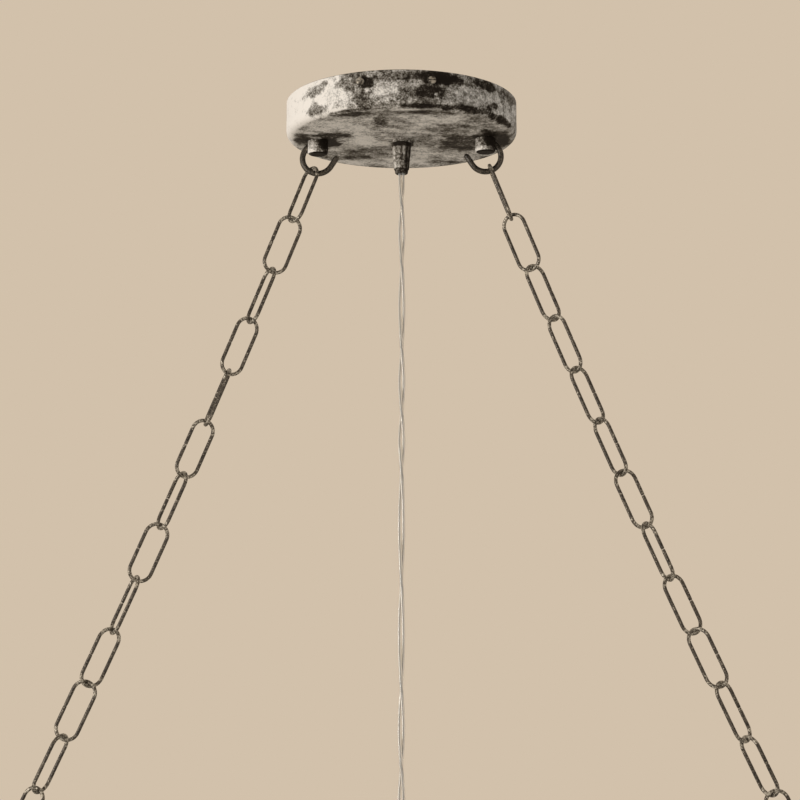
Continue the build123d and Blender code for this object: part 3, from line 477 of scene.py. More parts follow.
def cord_grip(base, out, length, shank):
    """A grip from its seat at height base, with out -1 downwards or 1 upwards: a closed profile
    up the outside and back through the bore. Each row has its height, radius, how fluted and how
    threaded it is, and the wash left, which just under the collar is a painted shadow. The radius
    of the barrel is cut by flutes, as 1 - depth * cos(half the flutes' angle) squared, and that of
    the shank by a thread, a saw tooth of height and angle."""
    barrel_top = COLLAR_HEIGHT + BARREL_HEIGHT
    h, r, flute, thread, cover = np.concatenate([
        [(t, SHANK_RADIUS, 0, 1, 0) for t in np.linspace(-shank, -0.5, int(shank * 8))],
        [(-0.01, SHANK_RADIUS, 0, 0, 0.5), (0, COLLAR_RADIUS - 0.4, 0, 0, 0.5),
         (0.4, COLLAR_RADIUS, 0, 0, 0.5), (COLLAR_HEIGHT - 0.3, COLLAR_RADIUS, 0, 0, 0.45),
         (COLLAR_HEIGHT, COLLAR_RADIUS - 0.35, 0, 0, 0.1)],
        [(COLLAR_HEIGHT + t, BARREL_RADIUS - BARREL_SLOPE * t, min(1, 2 * t / 3), 0,
          0.05 if t < COLLAR_SHADOW_BAND else 0.4)
         for t in np.linspace(0.1, BARREL_HEIGHT - 0.6, 24)],
        [(barrel_top - 0.1, GRIP_TIP_RADIUS + 0.35, 0.5, 0, 0.2),
         (barrel_top, GRIP_TIP_RADIUS, 0, 0, 0.1)],
        [(barrel_top + t, GRIP_TIP_RADIUS - GRIP_TIP_SLOPE * t, 0, 0, 0.16)
         for t in np.linspace(0.4, length - barrel_top - 0.4, 6)],
        [(length, GRIP_TIP_RADIUS - GRIP_TIP_SLOPE * (length - barrel_top) - 0.3, 0, 0, 0.1),
         (length, GRIP_BORE_RADIUS + 0.2, 0, 0, 0), (length - 0.3, GRIP_BORE_RADIUS, 0, 0, 0),
         (-shank, GRIP_BORE_RADIUS, 0, 0, 0)],
    ]).T[:, :, None]
    a = np.linspace(0, 2 * np.pi, 120, endpoint=False)
    saw = np.abs(((h / THREAD_PITCH + a / (2 * np.pi)) % 1) - 0.5) * 2
    radius = r * (1 - FLUTE_DEPTH * flute * np.cos(FLUTES * a / 2) ** 2)
    radius = radius - THREAD_DEPTH * thread * saw
    grid = np.stack([radius * np.cos(a), radius * np.sin(a), base + out * h + 0 * a], -1)
    # Painted shading on the barrel: its wash falls off towards the right as if lit from the left,
    # with a little more in the flutes' hollows
    wash_and_shading = cover + flute * (0.1 * np.cos(FLUTES * a) - 0.2 * np.cos(a)) * (cover > 0.3)
    return skin(grid, loop=True, cover=wash_and_shading)


SWING_Z = -41.746
TILT_Z = -440.052
GRIP_PAST_AXIS = 1.5
HANGER_TOP = -460.875
upper_grip = cord_grip(CANOPY_FLOOR, -1, CANOPY_FLOOR - SWING_Z + GRIP_PAST_AXIS, shank=9.7)
lower_grip = cord_grip(HANGER_TOP, 1, TILT_Z - HANGER_TOP + GRIP_PAST_AXIS, shank=12.0)
piece("canopy_grip", [upper_grip], whitewash, "canopy", ["cord_grip"])
piece("frame_grip", [lower_grip], whitewash, "frame", ["frame_cord_grip"])


# Wire connectors: twist-on cones moulded in orange polypropylene, ribbed for the fingers. They
# lie behind the load bar, one each for the live, neutral and earth wires. The plastic is satin,
# and a little cloudy.
CONNECTOR_SPACING = 14.0
CONNECTOR_MOUTH_Y = 20.5
CONNECTOR_Z = -15.8
CONNECTOR_RIBS = 14
CONNECTOR_RIB_DEPTH = 0.05


def drifting(name, one, other, size, detail, **sockets):
    """A finish whose two tones drift into each other, by a noise with grains of size metres.
    Gives the material, its tree and shader, and the noise's socket."""
    finish, tree, shader, place = start_finish(name, **sockets)
    grains = add(tree, "TexNoise", {"Vector": place, "Scale": 1 / size, "Detail": detail})
    two_tone(tree, shader, grains.outputs["Fac"], one, other)
    return finish, tree, shader, grains.outputs["Fac"]


orange = drifting("moulded_polypropylene", "#C4692A", "#DB8338", 0.006, 2.0, Roughness=0.5,
                  IOR=1.49)[0]
# Depth behind the mouth, radius and whether ribbed
along, radius, ribbed = np.array([
    (9, 3.6, 0), (0.4, 4.2, 0), (0, 4.5, 0), (0.3, 4.9, 0), (2.5, 4.9, 0), (3.2, 4.55, 1),
    (8, 4.2, 1), (14, 3.7, 1), (17, 3.3, 1), (18, 2.9, 0), (18.7, 2.0, 0), (19, 0.8, 0),
]).T[:, :, None]
a = np.linspace(0, 2 * np.pi, 112, endpoint=False)
radius = radius * (1 + CONNECTOR_RIB_DEPTH * ribbed * (np.cos(CONNECTOR_RIBS * a) - 1))
cone = np.stack([radius * np.cos(a), CONNECTOR_MOUTH_Y + along + 0 * a,
                 CONNECTOR_Z + radius * np.sin(a)], -1)
piece("twist_connectors", [skin(cone + (count * CONNECTOR_SPACING, 0, 0)) for count in (-1, 0, 1)],
      orange, "canopy", ["wire_connectors"])


# Chains: 13 oval links a side, bent from 2.2 mm iron wire, their ends butted halfway up one leg.
# The finish is the hooks' dark bronze. Every link is turned its own way, as in the photograph.
LINK_LENGTH = 35.7
LINK_BEND = 6.95
LINK_WIRE_RADIUS = 1.1
LINK_SEAM = 0.25
# The wire is nipped thinner by this much at the seam, and less and less over this distance
SEAM_NECK = 0.12
SEAM_REACH = 0.3
# How far a link is chafed: this much along its legs, and more round its ends
CHAFE_LEAST = 0.12
CHAFE_MOST = 0.45
CHAFE_REACH = 9.0
LINK_PITCH = 33.44
LINK_UNDER_RING = 3.15
SLOPE_AT_TOP = 21.5
SLOPE_PER_LINK = 0.3
# Degrees that each link is turned about its chain, from the top
LINK_TURNS = {
    "left": (50, -24, 58, -38, 72, -37, 55, -31, 63, -44, 7, -69, 25),
    "right": (88, -29, 41, -52, 46, -59, 28, -69, 33, -39, 48, -57, 12),
}
leg = LINK_LENGTH / 2 - LINK_BEND
wire = np.concatenate([
    line((LINK_BEND, LINK_SEAM / 2), (LINK_BEND, leg), steps=12),
    arc((0, leg), LINK_BEND, 0, 180, steps=26)[:-1],
    line((-LINK_BEND, leg), (-LINK_BEND, -leg), steps=20),
    arc((0, -leg), LINK_BEND, 180, 360, steps=26)[:-1],
    line((LINK_BEND, -leg), (LINK_BEND, -LINK_SEAM / 2), steps=11),
    [(LINK_BEND, -LINK_SEAM / 2)],
])
from_seam = np.minimum(np.linalg.norm(wire - wire[0], axis=1),
                       np.linalg.norm(wire - wire[-1], axis=1))
wire_radius = LINK_WIRE_RADIUS - SEAM_NECK * np.exp(-from_seam / SEAM_REACH)
past_leg = np.abs(wire[:, 1:]) - leg
chafe = np.clip(past_leg / CHAFE_REACH + CHAFE_LEAST, CHAFE_LEAST, CHAFE_MOST)
for side, hand in ((-1, "left"), (1, "right")):
    lean = np.radians(SLOPE_AT_TOP)
    top = np.array([side * HOOK_X, 0, RING_Z])
    top = top + (RING_RADIUS - LINK_UNDER_RING) * np.array([side * np.sin(lean), 0, -np.cos(lean)])
    for number, turn in enumerate(np.radians(LINK_TURNS[hand])):
        lean = np.radians(SLOPE_AT_TOP + number * SLOPE_PER_LINK)
        down = np.array([side * np.sin(lean), 0, -np.cos(lean)])
        wide = np.cos(turn) * np.array([side * np.cos(lean), 0, np.sin(lean)])
        wide = wide + (0, np.sin(turn), 0)
        path = top + down * LINK_LENGTH / 2 + wire[:, :1] * wide - wire[:, 1:] * down
        link = sweep(path, wire_radius, np.cross(wide, down), sides=16, cover=chafe)
        piece(f"{hand}_chain_{number + 1:02d}", [link], iron, "chains",
              [f"{hand}_link_{number + 1:02d}"], crease=60)
        top = top + down * LINK_PITCH


# Power cord: two strands of tinned wire, each in a clear soft PVC jacket, loosely twisted about
# each other. It hangs straight from the canopy's grip to the frame's, and bows between crossings.
CORD_STRAND_RADIUS = 1.05
CORD_WIRE_RADIUS = 0.2
CORD_BOW = 0.2
CORD_ROWS = 500
CORD_SMOOTHING = 25
# The grips hold the strands together over this length at each end
CORD_HELD = 12.0
# Heights at which one strand passes in front of the other, seen from the front
CORD_CROSSINGS = (-25, -61.5, -98, -151.5, -189, -222, -288, -350, -395, -430)
route = bpy.data.curves.new("cord_route", "CURVE")
route.dimensions = "3D"
route.resolution_u = 64
run = route.splines.new("NURBS")
run.points.add(3)
run.points.foreach_set("co", [
    0, 0, -0.041746, 1, 0.0003, 0, -0.067, 1, -0.0003, 0, -0.415, 1, 0, 0, -0.440052, 1,
])
run.order_u = 3
run.use_endpoint_u = True
route_object = bpy.data.objects.new("cord_route", route)
read = bpy.data.meshes.new_from_object(route_object)
middle = np.array([point.co for point in read.vertices])
bpy.data.objects.remove(route_object)
bpy.data.curves.remove(route)
bpy.data.meshes.remove(read)
heights = np.linspace(middle[0, 2], middle[-1, 2], CORD_ROWS)
core = np.stack([np.interp(-heights, -middle[:, 2], middle[:, k]) for k in (0, 1, 2)], -1) * 1000
half_turns = np.interp(-core[:, 2], -np.array(CORD_CROSSINGS), np.arange(len(CORD_CROSSINGS)))
half_turns = np.convolve(np.pad(half_turns, CORD_SMOOTHING // 2, "edge"),
                         np.ones(CORD_SMOOTHING) / CORD_SMOOTHING, "valid")
turn = np.pi * (half_turns + 0.5)
free = np.clip((core[0, 2] - core[:, 2]) / CORD_HELD, 0, 1)
free = free * np.clip((core[:, 2] - core[-1, 2]) / CORD_HELD, 0, 1)
apart = CORD_STRAND_RADIUS + CORD_BOW * np.cos(turn) ** 2 * free
aside = apart[:, None] * np.stack([np.cos(turn), np.sin(turn), 0 * turn], -1)

# Clear PVC: a glossy, slightly milky jacket that shows the wire inside as a thin grey line.
jacket = drifting("clear_soft_pvc", "#FAF5EC", "#FFFCF7", 0.02, 2.0, Roughness=0.06, IOR=1.5,
                  **{"Transmission Weight": 0.72})[0]

# Tinned copper strands in each jacket: aged to a dull dark grey, so that they show as fine lines.
# Their lay is drawn at 0.5 mm, coarser than the real one, which would be too fine to show.
tinned, tree, shader, lay = drifting("tinned_copper_strands", "#211D18", "#4A4339", 0.0005, 2.0,
                                     Metallic=1.0)
roughen(tree, shader, lay, (0, 1), (0.2, 0.5))
strands = (core + aside, core - aside)
wires = piece("tinned_wires",
              [sweep(strand, CORD_WIRE_RADIUS, (1, 0, 0), sides=10) for strand in strands],
              tinned, "chains", crease=60)
cord = piece("twisted_cord",
             [sweep(strand, CORD_STRAND_RADIUS, (1, 0, 0), sides=16) for strand in strands],
             jacket, "chains", ["power_cord"], crease=60)


# Frame eyes: closed rings of 3.5 mm iron wire welded on collars, with studs through the hanger
# bar. They take the lowest links, and stand across the bar.
EYE_X = 224.832
EYE_Z = -446.600
EYE_COLLAR_RADIUS = 6.0
EYE_COLLAR_HEIGHT = 4.0
EYE_STUD_BOTTOM = -472.075
for side, hand in ((-1, "left"), (1, "right")):
    ring = arc((0, EYE_Z), RING_RADIUS, 0, 360, steps=73)[:-1]
    ring = np.stack([0 * ring[:, 0] + side * EYE_X, ring[:, 0], ring[:, 1]], -1)
    collar = lathe([
        (0.5, EYE_STUD_BOTTOM), (STUD_RADIUS - 0.4, EYE_STUD_BOTTOM),
        (STUD_RADIUS, EYE_STUD_BOTTOM + 0.4), (STUD_RADIUS, HANGER_TOP - 0.01),
        (EYE_COLLAR_RADIUS - 0.3, HANGER_TOP), (EYE_COLLAR_RADIUS, HANGER_TOP + 0.3),
        (EYE_COLLAR_RADIUS, HANGER_TOP + 2.2), (EYE_COLLAR_RADIUS - 0.6, HANGER_TOP + 3.1),
        (EYE_COLLAR_RADIUS - 2, HANGER_TOP + 3.8), (1, HANGER_TOP + EYE_COLLAR_HEIGHT),
    ], (side * EYE_X, 0), sides=48)
    piece(f"{hand}_eye", [sweep(ring, RING_WIRE_RADIUS, (1, 0, 0), loop=True), skin(collar)],
          iron, "frame", [f"{hand}_frame_eye"])


# Frame: two rings of 10 mm square bar, mitred and welded, with a post at each corner and a flat
# hanger bar across the top ring. Dressed edges, washed like the canopy and rubbed through on them.
FRAME_LENGTH = 760.0
FRAME_WIDTH = 254.0
RAIL = 10.0
EDGE = 0.9
EDGE_STEP = 1.4
BAR_WASH = 0.74
BAR_MOTTLE = 0.08
BLOT_DEPTH = 0.45
BLOT_STEP = 6.0
EDGE_WEAR = 0.3
TOP_RAIL_BOTTOM = -470.875
BOTTOM_RAIL_TOP = -640.875
FRAME_BOTTOM = -650.875
INNER_LENGTH = FRAME_LENGTH - 2 * RAIL
HANGER_BAR_WIDTH = 24.0
HANGER_BAR_THICKNESS = 6.0


def rounded_section(width, height, radius):
    """Outline of a bar: a quarter circle at each corner, and a further point EDGE_STEP along
    each side. Also the wear, which is most on the quarter circles and none at those points."""
    w, h = width / 2 - radius, height / 2 - radius
    points, wear = [], []
    for x, y, first in ((w, h, 0), (-w, h, 90), (-w, -h, 180), (w, -h, 270)):
        a = np.radians(first)
        corner = arc((x, y), radius, first, first + 90, steps=5)
        before = corner[0] + EDGE_STEP * np.array([np.sin(a), -np.cos(a)])
        after = corner[-1] + EDGE_STEP * np.array([-np.cos(a), -np.sin(a)])
        points += [before[None], corner, after[None]]
        wear += [0, -0.5, -1, -1, -1, -0.5, 0]
    return np.concatenate(points), np.array(wear)


def worn(grid):
    """Whitewash left on the frame at each point: BAR_WASH, more or less by a slow mottle, and
    less by up to BLOT_DEPTH where a finer one is over 0.9."""
    blot = np.clip(2 * mottle(grid, shortest=18, longest=70, seed=3) - 1.8, 0, 1)
    slow = mottle(grid, shortest=30, longest=200, seed=4)
    return BAR_WASH + BAR_MOTTLE * slow - BLOT_DEPTH * blot


def washed(rows, edge, loop=False):
    """A washed bar from rows of points: further rows are put evenly between each two, at most
    BLOT_STEP apart, and its edges are rubbed."""
    ends = np.roll(rows, -1, 0) if loop else rows[1:]
    gaps = [max(1, int(np.linalg.norm(end - start, axis=-1).max() / BLOT_STEP) + 1)
            for start, end in zip(rows, ends)]
    grid = np.concatenate([start + (end - start) * np.arange(steps)[:, None, None] / steps
                           for start, end, steps in zip(rows, ends, gaps)]
                          + ([] if loop else [rows[-1:]]))
    return skin(grid, loop, worn(grid) + EDGE_WEAR * edge)


def bar(width, height, radius, start, end, across, up):
    """Straight bar: the rounded outline, laid along across and up, at both ends of the bar."""
    outline, edge = rounded_section(width, height, radius)
    flat = outline[:, :1] * np.array(across, float) + outline[:, 1:] * np.array(up, float)
    return washed(np.stack([start + flat, end + flat]), edge)


def rail(bottom):
    """A rectangular ring of square bar: at each of the four corners the outline is carried round
    a small arc whose radius is as much of EDGE as the point stands out of the ring's middle."""
    outline, edge = rounded_section(RAIL, RAIL, EDGE)
    u, v = outline[:, 0], outline[:, 1]
    turn_radius = np.maximum(0.05, u - RAIL / 2 + EDGE)
    rows = []
    for corner_x, corner_y, first in ((1, 1, 0), (-1, 1, 90), (-1, -1, 180), (1, -1, 270)):
        for a in np.radians(first + np.linspace(0, 90, 5)):
            x = corner_x * (FRAME_LENGTH / 2 - RAIL / 2 + u - turn_radius) + turn_radius * np.cos(a)
            y = corner_y * (FRAME_WIDTH / 2 - RAIL / 2 + u - turn_radius) + turn_radius * np.sin(a)
            rows.append(np.stack([x, y, bottom + RAIL / 2 + v], -1))
    return washed(np.array(rows), edge, loop=True)


def long_bar(width, height, edge, top):
    """A flat bar between the end rails, with its upper face at the height top."""
    end = np.array([INNER_LENGTH / 2, 0, top - height / 2])
    return bar(width, height, edge, end * (-1, 1, 1), end, (0, 1, 0), (0, 0, 1))


piece("upper_rail", [rail(TOP_RAIL_BOTTOM)], whitewash, "frame", ["top_rail"])
piece("lower_rail", [rail(FRAME_BOTTOM)], whitewash, "frame", ["bottom_rail"])
post_x, post_y = (FRAME_LENGTH - RAIL) / 2, (FRAME_WIDTH - RAIL) / 2
piece("posts", [
    bar(RAIL, RAIL, EDGE, np.array([x * post_x, y * post_y, BOTTOM_RAIL_TOP]),
        np.array([x * post_x, y * post_y, TOP_RAIL_BOTTOM]), (1, 0, 0), (0, 1, 0))
    for x in (-1, 1) for y in (-1, 1)
], whitewash, "frame", ["corner_posts"])
piece("hanger_strap", [long_bar(HANGER_BAR_WIDTH, HANGER_BAR_THICKNESS, EDGE, HANGER_TOP)],
      whitewash, "frame", ["hanger_bar"])


# Centre stem and lamp bar: a round tube over the grip's shank takes the wires down to a
# rectangular tube between the end rails, which carries the lamps. Washed steel.
STEM_RADIUS = 7.0
STEM_BORE_RADIUS = 5.0
LAMP_BAR_WIDTH = 24.0
LAMP_BAR_HEIGHT = 12.0
LAMP_BAR_EDGE = 1.2
LAMP_BAR_TOP = -638.875
stem_top = HANGER_TOP - HANGER_BAR_THICKNESS
tube = lathe([
    (STEM_BORE_RADIUS, LAMP_BAR_TOP), (STEM_RADIUS - 0.2, LAMP_BAR_TOP),
    *line((STEM_RADIUS, LAMP_BAR_TOP + 0.2), (STEM_RADIUS, stem_top - 0.2), steps=28),
    (STEM_RADIUS, stem_top - 0.2), (STEM_RADIUS - 0.2, stem_top), (STEM_BORE_RADIUS, stem_top),
], sides=64)
piece("stem", [skin(tube, loop=True, cover=worn(tube))], whitewash, "frame",
      ["centre_stem"])
piece("lamp_tube", [long_bar(LAMP_BAR_WIDTH, LAMP_BAR_HEIGHT, LAMP_BAR_EDGE, LAMP_BAR_TOP)],
      whitewash, "frame", ["lamp_bar"])


# Candle cups: spun steel drip pans with a curled rim, washed and rubbed at the rim.
# A socket's nipple clamps each one to the lamp bar.
LAMP_XS = [side * INNER_LENGTH / 6 * (count + 0.5) for side in (-1, 1) for count in range(3)]
CUP_THICKNESS = 1.5
# Radius, height over the lamp bar and wear, from the hole out over the rim and back
cup_radius, cup_height, cup_wear = np.array([
    (4.95, 0, 0), (10.6, 0, 0), (11.4, 0.25, 0), (12.1, 0.9, -0.1), (14.6, 3.4, 0), (16.6, 5.2, 0),
    (17.6, 6.1, -0.05), (18.0, 6.8, -0.25), (18.05, 7.4, -0.3), (17.8, 7.8, -0.3),
    (17.3, 8.0, -0.3), (16.8, 7.8, -0.2), (16.5, 7.2, -0.1), (15.6, 6.2, 0), (13.6, 4.4, 0),
    (11.6, 2.3, 0), (11.0, 1.7, 0), (10.3, CUP_THICKNESS, 0), (4.95, CUP_THICKNESS, 0),
]).T
cup_profile = np.stack([cup_radius, LAMP_BAR_TOP + cup_height], -1)
cups = [lathe(cup_profile, (x, 0), sides=80) for x in LAMP_XS]
piece("drip_cups", [skin(cup, loop=True, cover=worn(cup) + cup_wear[:, None]) for cup in cups],
      whitewash, "frame", ["candle_cups"])


# Candle sleeves: ivory moulded tubes that slip over the sockets and stand in the cups.
# They are satin and slightly waxy, with a softened top edge.
CUP_FLOOR = LAMP_BAR_TOP + CUP_THICKNESS
SLEEVE_BORE_RADIUS = 9.85
SLEEVE_RADIUS = 11.05
SLEEVE_HEIGHT = 59.0
SLEEVE_TOP = CUP_FLOOR + SLEEVE_HEIGHT
ivory = drifting("moulded_ivory_styrene", "#E2D7BF", "#F2EAD8", 0.012, 3.0, Roughness=0.42,
                 IOR=1.55, **{"Subsurface Weight": 0.15,
                              "Subsurface Radius": (0.004, 0.003, 0.0015)})[0]
sleeve_profile = [
    (SLEEVE_BORE_RADIUS, CUP_FLOOR), (SLEEVE_RADIUS - 0.1, CUP_FLOOR),
    (SLEEVE_RADIUS, CUP_FLOOR + 0.1), (SLEEVE_RADIUS, SLEEVE_TOP - 0.5),
    (SLEEVE_RADIUS - 0.15, SLEEVE_TOP - 0.15), (SLEEVE_RADIUS - 0.5, SLEEVE_TOP),
    (SLEEVE_BORE_RADIUS + 0.4, SLEEVE_TOP), (SLEEVE_BORE_RADIUS + 0.1, SLEEVE_TOP - 0.1),
    (SLEEVE_BORE_RADIUS, SLEEVE_TOP - 0.4),
]
piece("sleeves", [skin(lathe(sleeve_profile, (x, 0), sides=72), loop=True) for x in LAMP_XS],
      ivory, "frame", ["candle_sleeves"])


# Lamp sockets: candelabra sockets moulded in black phenolic, with a threaded nipple below that
# clamps cup and lamp bar. Phenolic is hard, nearly black and half glossy.
SOCKET_HEIGHT = 57.0
SOCKET_DEPTH = 22.0
NIPPLE_LENGTH = 5.0
SOCKET_TOP = CUP_FLOOR + SOCKET_HEIGHT
NIPPLE_BOTTOM = CUP_FLOOR - NIPPLE_LENGTH
phenolic = drifting("black_phenolic", "#1A1714", "#322C27", 0.004, 4.0, Roughness=0.35,
                    IOR=1.6)[0]
socket_profile = [
    (1.0, NIPPLE_BOTTOM), (4.4, NIPPLE_BOTTOM), (4.8, NIPPLE_BOTTOM + 0.4),
    (4.8, CUP_FLOOR - 0.01), (8.3, CUP_FLOOR), (8.55, CUP_FLOOR + 0.3), (8.55, SOCKET_TOP - 0.5),
    (8.3, SOCKET_TOP - 0.1), (8.0, SOCKET_TOP), (6.7, SOCKET_TOP), (6.4, SOCKET_TOP - 0.3),
    (6.35, SOCKET_TOP - SOCKET_DEPTH), (1.0, SOCKET_TOP - SOCKET_DEPTH),
]
piece("sockets", [skin(lathe(socket_profile, (x, 0), sides=56)) for x in LAMP_XS],
      phenolic, "frame", ["lamp_sockets"])


# Bulb caps: thin brass rolled with a screw thread, cemented to the glass, with a solder
# blob below. Brass that has been handled, with a faint brown bloom.
CAP_TOP = SOCKET_TOP + 2.3
CAP_BOTTOM = CAP_TOP - 24
CAP_SIDES = 48
CAP_THREAD_RADIUS = 5.45
CAP_THREAD_HALF_DEPTH = 0.25
CAP_THREAD_PITCH = 2.6
brass, tree, shader, bloom = drifting("rolled_brass", "#B08A45", "#DDBB74", 0.003, 3.0,
                                      Metallic=1.0)
roughen(tree, shader, bloom, (0, 1), (0.18, 0.42))
a = np.linspace(0, 2 * np.pi, CAP_SIDES, endpoint=False)
height = np.linspace(CAP_BOTTOM + 3, CAP_TOP - 1.6, 80)[:, None]
# The thread's radius is a cosine of height and angle
wave = np.cos(2 * np.pi * (height / CAP_THREAD_PITCH) - a)
thread = CAP_THREAD_RADIUS + CAP_THREAD_HALF_DEPTH * wave
cap_rows = np.concatenate([
    lathe([(0.8, CAP_BOTTOM), (2.4, CAP_BOTTOM + 0.5), (3.2, CAP_BOTTOM + 1.6),
           (5.0, CAP_BOTTOM + 2.6)], sides=CAP_SIDES),
    np.stack([thread * np.cos(a), thread * np.sin(a), height + 0 * a], -1),
    lathe([(5.9, CAP_TOP - 1.2), (5.95, CAP_TOP - 0.3), (5.7, CAP_TOP), (1.0, CAP_TOP)],
          sides=CAP_SIDES),
])
piece("brass_caps", [skin(cap_rows + (x, 0, 0)) for x in LAMP_XS],
      brass, "frame", ["bulb_caps"])


# Flame bulbs: clear blown glass, 0.8 mm thick, drawn to a point at the tip and open at the
# neck where it is cemented in the cap. The glass is very faintly tinted in slow ripples.
BULB_NECK = 5.95
BULB_BELLY = 16.0
BULB_SHOULDER = 6.4
BULB_HEIGHT = 66.0
BULB_WALL = 0.8


def flame(wall):
    """Outline of the bulb, less its wall: a cubic through the neck, belly, shoulder and tip,
    (1 + 2t)(1 - t)^2 p + t (1 - t)^2 m + t^2 (3 - 2t) q + t^2 (t - 1) n, where p and q are two
    neighbouring points, and m and n the directions there, as long as p and q are apart."""
    p = np.array([(BULB_NECK, 0), (BULB_BELLY, 24), (BULB_SHOULDER, 50),
                  (0.35 + wall, BULB_HEIGHT)])
    p = p - (wall, 0)
    p[-1, 1] -= wall
    m = np.array([(0.55, 0.83), (0.02, 1.0), (-0.38, 0.92), (-0.3, 0.95)])
    gap = np.linalg.norm(np.diff(p, axis=0), axis=1)[:, None, None]
    t = np.linspace(0, 1, 15)[None, :, None]
    start, end, first, last = p[:-1, None], p[1:, None], gap * m[:-1, None], gap * m[1:, None]
    curve = ((1 + 2 * t) * (1 - t) ** 2 * start + t * (1 - t) ** 2 * first
             + t**2 * (3 - 2 * t) * end + t**2 * (t - 1) * last)
    outline = np.concatenate([part[:-1] for part in curve] + [curve[-1, -1:]])
    return outline + (0, CAP_TOP)


glass = drifting("blown_soda_glass", "#FAFAF7", "#FFFFFF", 0.012, 1.0, Roughness=0.0, IOR=1.5,
                 **{"Transmission Weight": 1.0})[0]
bulb_profile = np.concatenate([flame(0.0), flame(BULB_WALL)[::-1]])
piece("glass_bulbs", [skin(lathe(bulb_profile, (x, 0), sides=64), loop=True) for x in LAMP_XS],
      glass, "frame", ["bulb_globes"])


# Filaments: a glass stem rises from the cap, and two wires hold a coil that zigzags up.
# They are tungsten, a warm grey metal with a sooty bloom.
STEM_TOP = CAP_TOP + 20
COIL_TOP = CAP_TOP + 38
COIL_BOTTOM = COIL_TOP - 6
COIL_HALF_WIDTH = 4.0
COIL_PEAKS = 3
LEAD_RADIUS = 0.25
COIL_WIRE_RADIUS = 0.18
filament = drifting("tungsten_wire", "#6B675F", "#A8A297", 0.002, 2.0, Metallic=1.0,
                    Roughness=0.4)[0]
lead = np.array([(1.2, 0, CAP_TOP), (1.4, 0, STEM_TOP), (4.2, 0, STEM_TOP + 6),
                 (COIL_HALF_WIDTH, 0, COIL_BOTTOM)])
zigzag = np.linspace(0, 1, 61)
coil = np.stack([
    -COIL_HALF_WIDTH + 2 * COIL_HALF_WIDTH * zigzag,
    1.2 * np.sin(zigzag * 2 * COIL_PEAKS * np.pi),
    COIL_BOTTOM + (COIL_TOP - COIL_BOTTOM) * np.abs(np.sin(zigzag * COIL_PEAKS * np.pi)),
], -1)
piece("filaments", [
    part for x in LAMP_XS for part in (
        sweep(lead + (x, 0, 0), LEAD_RADIUS, (0, 1, 0), sides=6),
        sweep(lead * (-1, 1, 1) + (x, 0, 0), LEAD_RADIUS, (0, 1, 0), sides=6),
        sweep(coil + (x, 0, 0), COIL_WIRE_RADIUS, (0, 0.3, 1), sides=6),
    )
], filament, "frame", crease=60)
piece("bulb_stems", [skin(lathe([
    (5.0, CAP_TOP + 0.1), (3.6, CAP_TOP + 3), (2.6, CAP_TOP + 8), (2.2, CAP_TOP + 14),
    (2.4, STEM_TOP - 2), (2.2, STEM_TOP), (1.2, STEM_TOP + 0.8), (0.3, STEM_TOP + 1),
], (x, 0), sides=32)) for x in LAMP_XS], glass, "frame")


# Crystals: cut from clear lead glass. Each strand is a bevelled octagon over a six-sided prism,
# drilled and pinned with bright wire to both rails. Their flat cuts are the CAD solids' own. The
# glass bends light strongly and is a very pale cold blue, each piece a little different.
crystal, tree, shader, place = start_finish("cut_lead_crystal", Roughness=0.0, IOR=1.58,
                                            **{"Transmission Weight": 1.0})
batch = add(tree, "TexVoronoi", {"Vector": place, "Scale": 1 / 0.045})
two_tone(tree, shader, batch.outputs["Color"], "#E9F0F4", "#FAFCFE")
dress(crystal, "crystal", "long_side_crystals", "short_side_crystals")

# Drawn steel wire: bright, with fine marks of the die that dull it in places.
bright, tree, shader, place = start_finish("bright_drawn_wire", Metallic=1.0,
                                           **{"Base Color": linear("#C8C7C2")})
drawn = add(tree, "TexNoise", {"Vector": place, "Scale": 1 / 0.0008, "Detail": 2.0})
roughen(tree, shader, drawn.outputs["Fac"], (0, 1), (0.15, 0.35))
dress(bright, "pin_wire", "crystal_pins")


# Centre drop: a cut crystal ball on a wire loop, hung from a half ring welded under the lamp bar.
# The ball's facets are rings of flat cuts from pole to pole.
DROP_EYE_Z = -655.875
DROP_EYE_RADIUS = 4.5
DROP_EYE_WIRE = 1.0
DROP_LOOP_RADIUS = 5.0
DROP_LOOP_WIRE = 0.8
DROP_LOOP_SLACK = 0.3
# The loop hangs inside the ring, so its upper wire lies on the ring's lowest point
DROP_LOOP_Z = (DROP_EYE_Z - DROP_EYE_RADIUS + DROP_EYE_WIRE + DROP_LOOP_WIRE + DROP_LOOP_SLACK
               - DROP_LOOP_RADIUS)
DROP_RADIUS = 20.0
DROP_CUTS = 7
DROP_SIDES = 10
DROP_TOP = DROP_LOOP_Z - DROP_LOOP_RADIUS - 0.9
eye = arc((0, DROP_EYE_Z), DROP_EYE_RADIUS, 0, 360, steps=49)[:-1]
eye = np.stack([eye[:, 0], 0 * eye[:, 0], eye[:, 1]], -1)
piece("drop_ring", [sweep(eye, DROP_EYE_WIRE, (0, 1, 0), sides=16, loop=True)],
      iron, "frame", ["drop_eye"])
loop = arc((0, DROP_LOOP_Z), DROP_LOOP_RADIUS, 0, 360, steps=49)[:-1]
loop = np.stack([0 * loop[:, 0], loop[:, 0], loop[:, 1]], -1)
shank = line((0, 0, DROP_LOOP_Z - DROP_LOOP_RADIUS), (0, 0, DROP_TOP - 2.9), steps=6)
piece("drop_loop", [sweep(loop, DROP_LOOP_WIRE, (1, 0, 0), sides=14, loop=True),
                    sweep(shank, DROP_LOOP_WIRE, (1, 0, 0), sides=14)],
      bright, "drop", ["centre_drop"])
rows = np.linspace(0, np.pi, DROP_CUTS)
cut = np.stack([np.maximum(DROP_RADIUS * np.sin(rows), 1.6),
                DROP_TOP - DROP_RADIUS + DROP_RADIUS * np.cos(rows)], -1)
piece("drop_ball", [skin(lathe(cut, sides=DROP_SIDES))], crystal, "drop",
      ["centre_drop"], crease=1)


